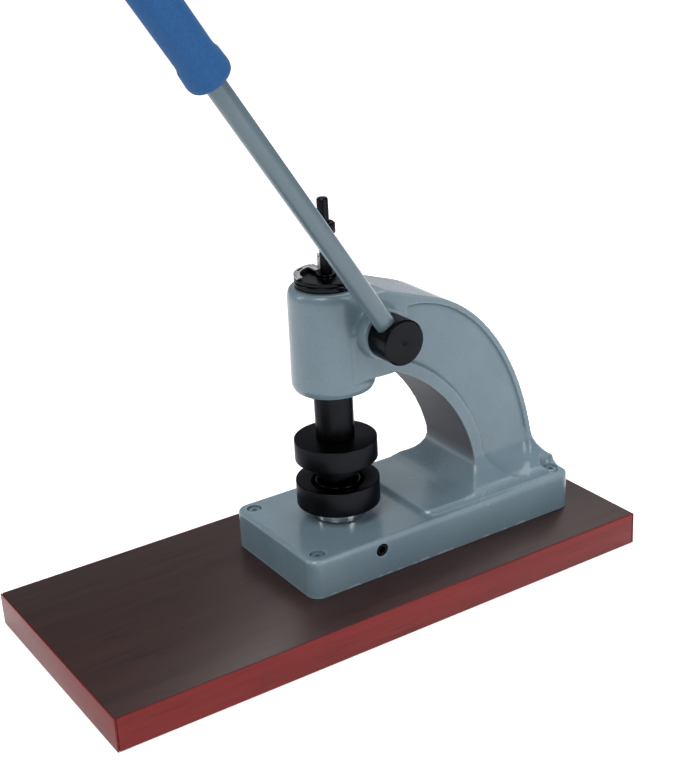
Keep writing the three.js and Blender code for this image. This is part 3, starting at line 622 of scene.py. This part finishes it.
class PRESS_OT_casting(PieceOperator, bpy.types.Operator):
    """Build the painted casting, smooth as it left the mould and then machined"""

    bl_idname = "press.casting"
    bl_label = "Casting"

    boss_radius = 14.4 * MM
    boss_faces = (-30 * MM, 33.3 * MM)
    grown = 6 * MM  # stock left on a face that is machined after the skin is smoothed
    plug_lap = 0.6 * MM  # how far a plug fills past its hole while the skin is smoothed
    hole_run = 2 * MM  # how far a drill runs past the grown stock
    base_corner = 7.5 * MM
    fillet_top = 26 * MM  # height over the base to which the arm's fillets reach
    facets_kept = 0.55  # share of the skin's facets kept once it is smooth
    head_low = 124 * MM
    head_radius_low = 23.5 * MM
    head_radius_high = 22.9 * MM
    head_rounding = 5 * MM
    head_stretch = 2 * MM
    throat_span = (70 * MM, 133.6 * MM)  # heights between which the throat is a true arc
    arm_front = 20 * MM  # the arm's front, behind the ram's axis
    joint_reach = 14 * MM  # how far the fillet beside the head spreads from there
    hollow_depth = 0.012 * MM  # a point this far under its neighbours is in a hollow
    spread_passes = 6  # how many times the hollows' mask is spread to its neighbours

    def build(self, sizes):
        low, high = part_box("press_frame")
        casting = copy_of("press_frame", "casting")
        cut(casting, self.throat(high.x))
        plugs = [rod(name, radius + self.plug_lap, begin, end, SMALL_STEPS)
                 for name, radius, begin, end in self.holes(0)]
        gather(casting, *plugs, *self.stock(low, high))
        modify(casting, "REMESH", mode="VOXEL", voxel_size=sizes.voxel)
        modify(casting, "SMOOTH", factor=0.5, iterations=sizes.cast_passes)
        self.soften(casting, sizes.fillet_passes)
        modify(casting, "DECIMATE", ratio=self.facets_kept)
        cutters = [rod(name, radius, begin, end, ROUND_STEPS)
                   for name, radius, begin, end in self.holes(self.grown + self.hole_run)]
        cut(casting, *self.facing(low, high), *cutters)
        finished(
            casting, Finishes.get("cast_enamel"), "stand", "painted_iron", "press_frame", angle=50
        )

    def holes(self, past):
        """Each round hole's name, radius and ends, run past the casting's faces by this much."""
        low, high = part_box("press_frame")
        bush = size_of("ram_bush").x / 2 + FIT
        shaft = size_of("shaft_bush_right").z / 2 + FIT
        lock_y, lock_z = centre_of("die_post_set_screw").yz
        brake_y, brake_z = centre_of("ram_brake_screw").yz
        lock = size_of("die_post_set_screw").z / 2 + FIT
        brake = size_of("ram_brake_screw").z / 2 + FIT
        bore_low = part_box("ram_bush")[0].z - 1.2 * MM  # just under the bush
        left, right = self.boss_faces
        post_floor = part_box("die_post")[0].z - FIT
        head_side = RAM_LINE + Vector((low.x / 2, 0, brake_z))

        def bar(name, radius, begin, end, past_begin=past, past_end=past):
            begin, end = Vector(begin), Vector(end)
            way = (end - begin).normalized()
            return name, radius, begin - way * past_begin, end + way * past_end

        made = [
            bar("head_bore", bush, (0, RAM_LINE.y, bore_low), (0, RAM_LINE.y, high.z)),
            bar("shaft_bore", shaft, (left, *PIVOT_LINE.yz), (right, *PIVOT_LINE.yz)),
            bar("post_socket", POST_SHANK + FIT, (0, RAM_LINE.y, post_floor),
                (0, RAM_LINE.y, BASE_TOP), 0),
            bar("lock_bore", lock, (0, lock_y, lock_z), (high.x, lock_y, lock_z), 0),
            bar("brake_bore", brake, (0, brake_y, brake_z), (head_side.x, brake_y, brake_z), 0),
        ]
        for node in SCREW_NODES:
            x, y = centre_of(node).xy
            head = size_of(node).x / 2 + FIT
            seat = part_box(node)[1].z - SCREW_HEAD - FIT
            made.append(bar(f"{node}_hole", SCREW_SHANK + FIT, (x, y, low.z), (x, y, seat)))
            made.append(bar(f"{node}_seat", head, (x, y, seat), (x, y, BASE_TOP), 0))
        return made

    def throat(self, half_width):
        """The round part of the throat's opening, finer than the frame's."""
        y, z = THROAT_CENTRE
        opening = along_x("throat", THROAT_RADIUS, -half_width, half_width, y, z, 2 * ROUND_STEPS)
        bottom, roof = self.throat_span
        reach = THROAT_RADIUS + MM
        arc = block("arc", (-half_width * 2, y, bottom), (half_width * 2, y + reach, roof))
        cut(opening, arc, operation="INTERSECT")
        return opening

    def heads(self, top):
        """Two round heads, a little apart, that make the frame's faceted one round."""
        rounding, wide, slim = self.head_rounding, self.head_radius_low, self.head_radius_high
        profile = [
            (0, self.head_low),
            (wide - rounding, self.head_low),
            (wide - rounding * 0.3, self.head_low + rounding * 0.3),
            (wide, self.head_low + rounding),
            (slim, top - rounding),
            (slim - rounding * 0.15, top - rounding * 0.35),
            (slim - rounding * 0.5, top),
            (0, top),
        ]
        shifts = (0, self.head_stretch)
        return [turned("head", profile, RAM_LINE + Y * shift, Z) for shift in shifts]

    def stock(self, low, high):
        """Extra metal under the base and on the bosses, which the facing cuts take off."""
        base_back = Vector((high.x, high.y, low.z + self.grown))
        sole = block("sole", (low.x, low.y, low.z - self.grown), base_back)
        focus(sole)
        bpy.ops.object.mode_set(mode="EDIT")
        bpy.ops.mesh.select_mode(type="EDGE")
        bpy.ops.mesh.select_all(action="DESELECT")
        bpy.ops.object.mode_set(mode="OBJECT")
        points = sole.data.vertices
        for edge in sole.data.edges:
            a, b = (points[k].co for k in edge.vertices)
            edge.select = abs(a.z - b.z) > self.grown
        bpy.ops.object.mode_set(mode="EDIT")
        bpy.ops.mesh.bevel(offset=self.base_corner, segments=8, affect="EDGES")
        bpy.ops.object.mode_set(mode="OBJECT")
        left, right = self.boss_faces
        y, z = PIVOT_LINE.yz
        reach = self.grown
        bosses = along_x("bosses", self.boss_radius, left - reach, right + reach, y, z, ROUND_STEPS)
        return [sole, bosses, *self.heads(high.z)]

    def facing(self, low, high):
        """Blocks that take the grown stock off the underside and the bosses' faces."""
        left, right = self.boss_faces
        y, z = PIVOT_LINE.yz
        past = Vector((self.grown, self.grown, 0))
        under = block(
            "under",
            (low.x - past.x, low.y - past.y, low.z - 2 * self.grown),
            (high.x + past.x, high.y + past.y, low.z),
        )
        wide = self.boss_radius * 1.3  # clear of the boss's rim
        return [
            under,
            along_x("face_left", wide, left - 3 * self.grown, left, y, z),
            along_x("face_right", wide, right, right + 3 * self.grown, y, z),
        ]

    def soften(self, casting, passes):
        """Widens the hollow fillets where the arm meets the base and the bosses meet the head."""
        mesh = casting.data
        count = len(mesh.vertices)
        points = np.empty(count * 3)
        mesh.vertices.foreach_get("co", points)
        points = points.reshape(-1, 3)
        normals = np.empty(count * 3)
        mesh.vertices.foreach_get("normal", normals)
        normals = normals.reshape(-1, 3)
        pairs = np.empty(len(mesh.edges) * 2, int)
        mesh.edges.foreach_get("vertices", pairs)
        first, second = pairs.reshape(-1, 2).T
        degree = np.bincount(pairs, minlength=count)

        def average(values):
            total = np.zeros_like(values)
            np.add.at(total, first, values[second])
            np.add.at(total, second, values[first])
            return total / (degree if values.ndim == 1 else degree[:, None])

        hollow = ((average(points) - points) * normals).sum(1)
        mask = (hollow > self.hollow_depth).astype(float)
        foot_top = BASE_TOP + self.fillet_top
        y, z = points[:, 1], points[:, 2]
        foot = (z < foot_top) & (y > RAM_LINE.y + self.arm_front)
        joint = (abs(y - RAM_LINE.y - self.arm_front) < self.joint_reach) & (z > foot_top)
        mask *= foot | joint
        for _ in range(self.spread_passes):
            mask = np.clip(average(mask) * 1.25, 0, 1)
        group = casting.vertex_groups.new(name="fillets")
        for index in np.nonzero(mask > 0.02)[0]:
            group.add([int(index)], float(mask[index]), "REPLACE")
        modify(casting, "SMOOTH", factor=0.5, iterations=passes, vertex_group="fillets")
        casting.vertex_groups.clear()


def hex_socket(name, centre, way, radius, depth):
    """The six-sided bar that sinks a key's socket into a screw's end."""
    return rod(name, radius, centre - way * depth, centre + way * depth, 6)


class PRESS_OT_base_screws(PieceOperator, bpy.types.Operator):
    """Build the four screws that hold the casting to the board"""

    bl_idname = "press.base_screws"
    bl_label = "Base screws"

    def build(self, sizes):
        thread, point, neck = 1.7 * MM, 3 * MM, MM
        board_top = 20 * MM
        key_radius, key_depth = 1.7 * MM, 1.3 * MM
        for node in SCREW_NODES:
            low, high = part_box(node)
            axis = Vector((*centre_of(node).xy, 0))
            radius = size_of(node).x / 2
            under = high.z - SCREW_HEAD
            profile = [
                (0, low.z),
                (thread, low.z + point),
                (thread, board_top),
                (SCREW_SHANK, board_top + neck),
                (SCREW_SHANK, under),
                (radius, under),
                (radius, high.z - 0.9 * MM),
                (radius - 0.5 * MM, high.z - 0.25 * MM),
                (radius - 1.3 * MM, high.z),
                (0, high.z),
            ]
            screw = turned(node.replace("base", "board"), profile, axis, Z, SMALL_STEPS)
            cut(screw, hex_socket("key", axis + Z * high.z, Z, key_radius, key_depth))
            bevel(screw, 0.12 * MM, 2)
            finished(screw, Finishes.get("screw_enamel"), "stand", "screw_paint", node)


class PRESS_OT_lower_die(PieceOperator, bpy.types.Operator):
    """Build the plated post, the lower die's cup and its pilot"""

    bl_idname = "press.lower_die"
    bl_label = "Lower die"

    stem = 5 * MM

    def build(self, sizes):
        low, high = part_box("die_post")
        radius = size_of("die_post").x / 2
        step, floor = low.z + 17.3 * MM, low.z + 15 * MM
        hole = self.stem + FIT
        profile = [
            (0, low.z),
            (POST_SHANK, low.z),
            (POST_SHANK, step),
            (radius, step),
            (radius, high.z),
            (hole, high.z),
            (hole, floor),
            (0, floor),
        ]
        post = turned("die_post_plated", profile, RAM_LINE, Z)
        bevel(post, sizes.broken_edge * 1.6)
        finished(post, Finishes.get("plated"), "stand", "plated_steel", "die_post")

        low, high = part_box("lower_die_cup")
        radius, bore = size_of("lower_die_cup").x / 2, 15.8 * MM
        floor, dish = low.z + 6 * MM, 1.8 * MM
        profile = [
            (hole, low.z),
            (radius, low.z),
            (radius, high.z),
            (radius - 1.2 * MM, high.z),
            (bore, high.z - dish),
            (bore, floor),
            (hole, floor),
        ]
        cup = turned("lower_die", profile, RAM_LINE, Z, closed=True)
        bevel(cup, sizes.broken_edge)
        finished(cup, Finishes.get("black"), "stand", "black_oxide", "lower_die_cup")

        low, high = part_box("lower_die_pilot")
        disc, ring, wall, pin = 15.5 * MM, 13.6 * MM, 1.4 * MM, 6.2 * MM
        seat = low.z + 16.5 * MM
        floor, pin_top = seat + 2.2 * MM, high.z - 1.4 * MM
        profile = [
            (0, low.z),
            (self.stem, low.z),
            (self.stem, seat),
            (disc, seat),
            (disc, floor),
            (ring, floor),
            (ring, high.z),
            (ring - wall, high.z),
            (ring - wall, floor),
            (pin, floor),
            (pin, pin_top),
            (0, pin_top),
        ]
        pilot = turned("lower_pilot", profile, RAM_LINE, Z)
        bevel(pilot, sizes.broken_edge)
        finished(pilot, Finishes.get("black_gloss"), "stand", "black_oxide", "lower_die_pilot")


class PRESS_OT_ram(PieceOperator, bpy.types.Operator):
    """Build the ram with its upper die and punch, the stop rod and the stop collar"""

    bl_idname = "press.ram"
    bl_label = "Ram"

    def build(self, sizes):
        ram = worked_copy("ram", "ram_bar", sizes.broken_edge)
        finished(ram, Finishes.get("black"), "ram_slide", "black_oxide", "ram")

        low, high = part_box("upper_die")
        radius, neck, stem = size_of("upper_die").x / 2, 15 * MM, 6 * MM
        disc_low = low.z + 8 * MM
        disc_high = disc_low + 12.8 * MM
        screw, screw_end = 2.5 * MM + FIT, low.z + 13.6 * MM
        profile = [
            (0, screw_end),
            (screw, screw_end),
            (screw, low.z),
            (neck, low.z),
            (neck, disc_low),
            (radius, disc_low),
            (radius, disc_high),
            (stem, disc_high),
            (stem, high.z),
            (0, high.z),
        ]
        die = turned("upper_die_disc", profile, RAM_LINE, Z)
        bevel(die, sizes.broken_edge)
        finished(die, Finishes.get("black"), "ram_slide", "black_oxide", "upper_die")

        low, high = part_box("upper_die_punch")
        radius, bore, thread = size_of("upper_die_punch").x / 2, 7 * MM, 2.5 * MM
        shoulder, bore_top = low.z + 6.2 * MM, low.z + 4.2 * MM
        profile = [
            (0, bore_top),
            (bore, bore_top),
            (bore, low.z),
            (radius, low.z),
            (radius, shoulder),
            (thread, shoulder),
            (thread, high.z),
            (0, high.z),
        ]
        punch = turned("upper_punch", profile, RAM_LINE, Z)
        bevel(punch, sizes.broken_edge)
        finished(punch, Finishes.get("black_gloss"), "ram_slide", "black_oxide", "upper_die_punch")

        low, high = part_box("stop_rod")
        radius = size_of("stop_rod").x / 2
        profile = [
            (0, low.z),
            (radius, low.z),
            (radius, high.z - 0.9 * MM),
            (radius - 0.7 * MM, high.z),
            (0, high.z),
        ]
        bar = turned("stop_bar", profile, RAM_LINE, Z, SMALL_STEPS)
        bevel(bar, 0.2 * MM, 2, 20)
        finished(bar, Finishes.get("black"), "ram_slide", "black_oxide", "stop_rod")

        low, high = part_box("stop_collar")
        outer, bore, chamfer = size_of("stop_collar").x / 2, radius + FIT, 1 * MM
        profile = [
            (bore, low.z),
            (outer, low.z),
            (outer, high.z - chamfer),
            (outer - chamfer, high.z),
            (bore, high.z),
        ]
        collar = turned("collar", profile, RAM_LINE, Z, closed=True)
        hole = size_of("stop_collar_screw").y / 2 + FIT
        screw_z = centre_of("stop_collar_screw").z
        cut(collar, along_x("screw_hole", hole, -outer - MM, 0, RAM_LINE.y, screw_z))
        bevel(collar, 0.2 * MM, 2, 28)
        finished(collar, Finishes.get("black"), "stop", "black_oxide", "stop_collar")


class PRESS_OT_cap(PieceOperator, bpy.types.Operator):
    """Build the head's lock ring, its cap and the lock plate"""

    bl_idname = "press.cap"
    bl_label = "Cap"

    def build(self, sizes):
        skirt, wall, rod_hole = 13.95 * MM, 2 * MM, 3.45 * MM
        low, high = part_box("cap_lock_ring")
        radius = size_of("cap_lock_ring").x / 2
        profile = [
            (skirt + FIT, low.z), (radius, low.z), (radius, high.z), (skirt + FIT, high.z),
        ]
        ring = turned("lock_ring", profile, RAM_LINE, Z, closed=True)
        bevel(ring, 0.6 * MM)
        finished(ring, Finishes.get("black_gloss"), "stand", "black_oxide", "cap_lock_ring")

        ring_top = high.z
        low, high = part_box("head_cap")
        disc = ring_top + FIT
        rim = high.z - 1 * MM
        recess, rim_width, boss = 1.1 * MM, 3.9 * MM, 5.6 * MM
        profile = [
            (rod_hole, disc - MM),
            (skirt - wall, disc - MM),
            (skirt - wall, low.z),
            (skirt, low.z),
            (skirt, disc),
            (radius, disc),
            (radius, rim),
            (radius - rim_width, rim),
            (radius - rim_width, rim - recess),
            (boss, rim - recess),
            (boss, high.z),
            (rod_hole, high.z),
        ]
        cap = turned("cap", profile, RAM_LINE, Z, closed=True)
        bevel(cap, sizes.broken_edge)
        finished(cap, Finishes.get("black_gloss"), "stand", "black_oxide", "head_cap")

        plate = worked_copy("cap_lock_plate", "lock_plate", 0.18 * MM)
        finished(plate, Finishes.get("grey_sheet"), "stand", "grey_sheet", "cap_lock_plate")


class PRESS_OT_lever(PieceOperator, bpy.types.Operator):
    """Build the lever: its hub, the painted bar and the blue grip"""

    bl_idname = "press.lever"
    bl_label = "Lever"

    lever_length = 295 * MM  # from the pivot
    grip_start = 184 * MM
    grip_radius = 10.8 * MM
    collar_length = 16 * MM
    end_wall = 4 * MM
    shaft_radius = 7 * MM
    pin_radius = 1.8 * MM

    def build(self, sizes):
        bar_low, bar_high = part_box("lever_rod")
        radius = (bar_high.x - bar_low.x) / 2
        rise = LEVER_WAY.z
        length = (size_of("lever_rod").z - 2 * radius * math.sqrt(1 - rise * rise)) / rise
        middle = (centre_of("lever_rod") - LEVER_FOOT).length
        near, far = middle - length / 2, middle + length / 2
        profile = [
            (0, near), (radius, near), (radius, far), (0, far),
        ]
        bar = turned("lever_bar", profile, LEVER_FOOT, LEVER_WAY)
        bevel(bar, 0.6 * MM)
        finished(bar, Finishes.get("shaded_lever_enamel"), "lever", "painted_iron", "lever_rod")

        low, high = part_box("lever_hub")
        hub_radius, chamfer, dimple = size_of("lever_hub").z / 2, 0.9 * MM, 1.5 * MM
        profile = [
            (0, low.x),
            (hub_radius - chamfer, low.x),
            (hub_radius, low.x + chamfer),
            (hub_radius, high.x - chamfer),
            (hub_radius - chamfer, high.x),
            (dimple, high.x),
            (0, high.x - dimple),
        ]
        hub = turned("hub", profile, PIVOT_LINE, X)
        y, z = PIVOT_LINE.yz
        shaft, floor = self.shaft_radius + FIT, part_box("pinion_shaft")[1].x + FIT
        through = LEVER_WAY * 2 * hub_radius
        cross = rod("cross", radius + FIT, LEVER_FOOT, LEVER_FOOT + through)
        pin_hole = rod("pin_hole", self.pin_radius, LEVER_FOOT, LEVER_FOOT - through)
        cut(hub, along_x("bore", shaft, low.x - MM, floor, y, z), cross, pin_hole)
        bevel(hub, 0.22 * MM, 2, 25)
        finished(hub, Finishes.get("black_gloss"), "lever", "black_oxide", "lever_hub")
        self.build_grip(radius + FIT)

    def build_grip(self, bore):
        """A closed sleeve with a swollen collar at its mouth."""
        low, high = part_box("grip")
        bulge = (high.x - low.x) / 2
        start_at, end_at = self.grip_start, self.lever_length + self.end_wall + FIT
        bore_end, body, collar = self.lever_length + FIT, self.grip_radius, self.collar_length
        profile = [
            (0, bore_end),
            (bore, bore_end),
            (bore, start_at + 0.6 * MM),
            (bulge - 4.4 * MM, start_at),
            (bulge - 2.2 * MM, start_at + 0.7 * MM),
            (bulge - 0.7 * MM, start_at + 2.2 * MM),
            (bulge, start_at + 4.6 * MM),
            (bulge, start_at + 6.6 * MM),
            (bulge - 0.35 * MM, start_at + collar - 2.6 * MM),
            (bulge - 0.9 * MM, start_at + collar - 1.1 * MM),
            (body + 0.1 * MM, start_at + collar),
            (body, start_at + collar + 2 * MM),
            (body + 0.4 * MM, end_at - 8 * MM),
            (body + 0.1 * MM, end_at - 4 * MM),
            (body - 1.4 * MM, end_at - 1.4 * MM),
            (body - 4 * MM, end_at),
            (0, end_at),
        ]
        grip = turned("grip_sleeve", profile, LEVER_FOOT, LEVER_WAY)
        bevel(grip, 0.5 * MM, 3, 12)
        finished(grip, Finishes.get("grip"), "lever", "blue_grip", "grip", angle=60)


class PRESS_OT_screws(PieceOperator, bpy.types.Operator):
    """Build the set screws with their hexagon sockets"""

    bl_idname = "press.screws"
    bl_label = "Set screws"

    def build(self, sizes):
        for node, body, side in (
            ("die_post_set_screw", "die_lock", 1),
            ("upper_die_set_screw", "upper_lock", -1),
            ("ram_brake_screw", "brake_screw", -1),
            ("stop_collar_screw", "stop_screw", -1),
        ):
            low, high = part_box(node)
            radius = size_of(node).z / 2
            line = Vector((0, *centre_of(node).yz))
            tip, face = (low.x, high.x) if side > 0 else (high.x, low.x)
            edge = radius * 0.16 * side
            profile = [
                (0, tip), (radius * 0.7, tip), (radius, tip + edge * 2),
                (radius, face - edge), (radius - abs(edge), face), (0, face),
            ]
            name = node.replace("_set", "").replace("ram_", "") + "_hex"
            screw = turned(name, profile, line, X, SMALL_STEPS)
            depth = min(radius * 1.2, abs(face - tip) * 0.5)
            cut(screw, hex_socket("key", line + X * face, X, radius * 0.55, depth))
            bevel(screw, radius * 0.04, 2)
            finished(screw, Finishes.get("black"), body, "black_oxide", node)


class PRESS_OT_shaft(PieceOperator, bpy.types.Operator):
    """Finish the pinion shaft with its bushes, washer, ring and pin, and the hidden pads"""

    bl_idname = "press.shaft"
    bl_label = "Shaft"

    def build(self, sizes):
        edge = sizes.broken_edge * 0.6
        for node, name in (
            ("pinion_shaft", "pinion"),
            ("shaft_washer", "washer"),
            ("shaft_retaining_ring", "retaining_ring"),
        ):
            piece = worked_copy(node, name, edge)
            finished(piece, Finishes.get("steel"), "lever", "steel", node)
        dress("bronze", "ram_bush", "shaft_bush_right", "shaft_bush_left")
        dress("nylon", "ram_brake_pad")
        dress("steel", "hub_pin")


class PRESS_OT_studio(PieceOperator, bpy.types.Operator):
    """Set the pale floor, the soft lights and the camera"""

    bl_idname = "press.studio"
    bl_label = "Studio"

    def build(self, sizes):
        spot = (0, 0, -FIT)
        floor = start(bpy.ops.mesh.primitive_plane_add, "floor", size=sizes.floor, location=spot)
        white = opaque((1, 1, 1))
        material, place = new_finish(
            "studio_paper", Roughness=0.8, Emission_Strength=0.4, Emission_Color=white
        )
        speckle = noise(place, 60, 3)
        feed(material, mix(speckle, (0.86, 0.86, 0.86), (0.9, 0.9, 0.9)))
        floor.data.materials.append(material)
        self.light_up()
        self.aim_camera(bpy.context.scene.press_camera)

    def light_up(self):
        """Sets the pale surroundings and the soft lights."""
        scene = bpy.context.scene
        scene.view_settings.view_transform = "Standard"
        world = scene.world or bpy.data.worlds.new("studio")
        scene.world = world
        world.use_nodes = True
        background = world.node_tree.nodes["Background"]
        background.inputs["Color"].default_value = (1.0, 1.0, 1.0, 1.0)
        background.inputs["Strength"].default_value = 0.2
        for name, power, width, depth, spot, aim in (
            ("overhead", 7, 0.8, 0.8, (-0.3, 0.45, 1.2), (0, 0, 0)),
            ("front", 4, 0.3, 0.9, (-0.6, -1.0, 0.7), (0, 0, 0.1)),
            ("side", 6, 0.4, 0.8, (1.1, 0.35, 0.6), (0, 0, 0.1)),
            ("back", 2.6, 1.5, 0.9, (-0.95, 1.15, 0.95), (0, 0, 0.05)),
        ):
            lamp = self.lamp(name, "AREA", spot, aim, power)
            lamp.shape = "RECTANGLE"
            lamp.size, lamp.size_y = width, depth
        sun = self.lamp("sun", "SUN", (0.55, -0.8, 1.4), (0, 0, 0), 2.0)
        sun.angle = math.radians(30)

    def lamp(self, name, kind, spot, aim, power):
        """Adds a light that points from one place to another, and returns its settings."""
        deselect()
        bpy.ops.object.light_add(type=kind, location=spot)
        lamp = bpy.context.object
        lamp.name = f"light_{name}"
        lamp.data.energy = power
        way = Vector(aim) - Vector(spot)
        lamp.rotation_euler = way.to_track_quat("-Z", "Y").to_euler()
        return lamp.data

    def aim_camera(self, eye):
        """Stands the camera where its settings say and points it at the press."""
        back = Vector((
            math.sin(eye.azimuth) * math.cos(eye.elevation),
            -math.cos(eye.azimuth) * math.cos(eye.elevation),
            math.sin(eye.elevation),
        ))
        aim = Vector((0, eye.aim_back, eye.aim_height))
        deselect()
        bpy.ops.object.camera_add(location=aim + back * eye.distance)
        camera = bpy.context.object
        camera.name = "camera"
        camera.rotation_mode = "QUATERNION"
        level = (-back).to_track_quat("-Z", "Y")
        camera.rotation_quaternion = level @ Quaternion((0, 0, 1), eye.roll)
        camera.data.lens = eye.lens
        camera.data.sensor_width = 36
        camera.data.clip_start = 0.01
        bpy.context.scene.camera = camera


class PRESS_PT_panel(bpy.types.Panel):
    """The press's pieces, in the order in which they are built"""

    bl_idname = "PRESS_PT_panel"
    bl_label = "Grommet Press"
    bl_space_type = "VIEW_3D"
    bl_region_type = "UI"
    bl_category = "Press"

    def draw(self, context):
        column = self.layout.column()
        for operator in OPERATORS:
            column.operator(operator.bl_idname)
        for group in (context.scene.press_sizes, context.scene.press_finishes):
            for key in group.__annotations__:
                column.prop(group, key)


OPERATORS = (
    PRESS_OT_board,
    PRESS_OT_casting,
    PRESS_OT_base_screws,
    PRESS_OT_lower_die,
    PRESS_OT_ram,
    PRESS_OT_cap,
    PRESS_OT_lever,
    PRESS_OT_screws,
    PRESS_OT_shaft,
    PRESS_OT_studio,
)
GROUPS = {
    "press_finishes": PressFinishes,
    "press_sizes": PressSizes,
    "press_camera": PressCamera,
}


def register():
    for kind in (*GROUPS.values(), *OPERATORS, PRESS_PT_panel):
        bpy.utils.register_class(kind)
    for name, group in GROUPS.items():
        setattr(bpy.types.Scene, name, PointerProperty(type=group))


def unregister():
    for name in GROUPS:
        delattr(bpy.types.Scene, name)
    for kind in reversed((*GROUPS.values(), *OPERATORS, PRESS_PT_panel)):
        bpy.utils.unregister_class(kind)


def main():
    """Builds every piece."""
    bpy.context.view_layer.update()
    register()
    for operator in OPERATORS:
        group, name = operator.bl_idname.split(".")
        getattr(getattr(bpy.ops, group), name)()


if __name__ == "__main__":
    main()
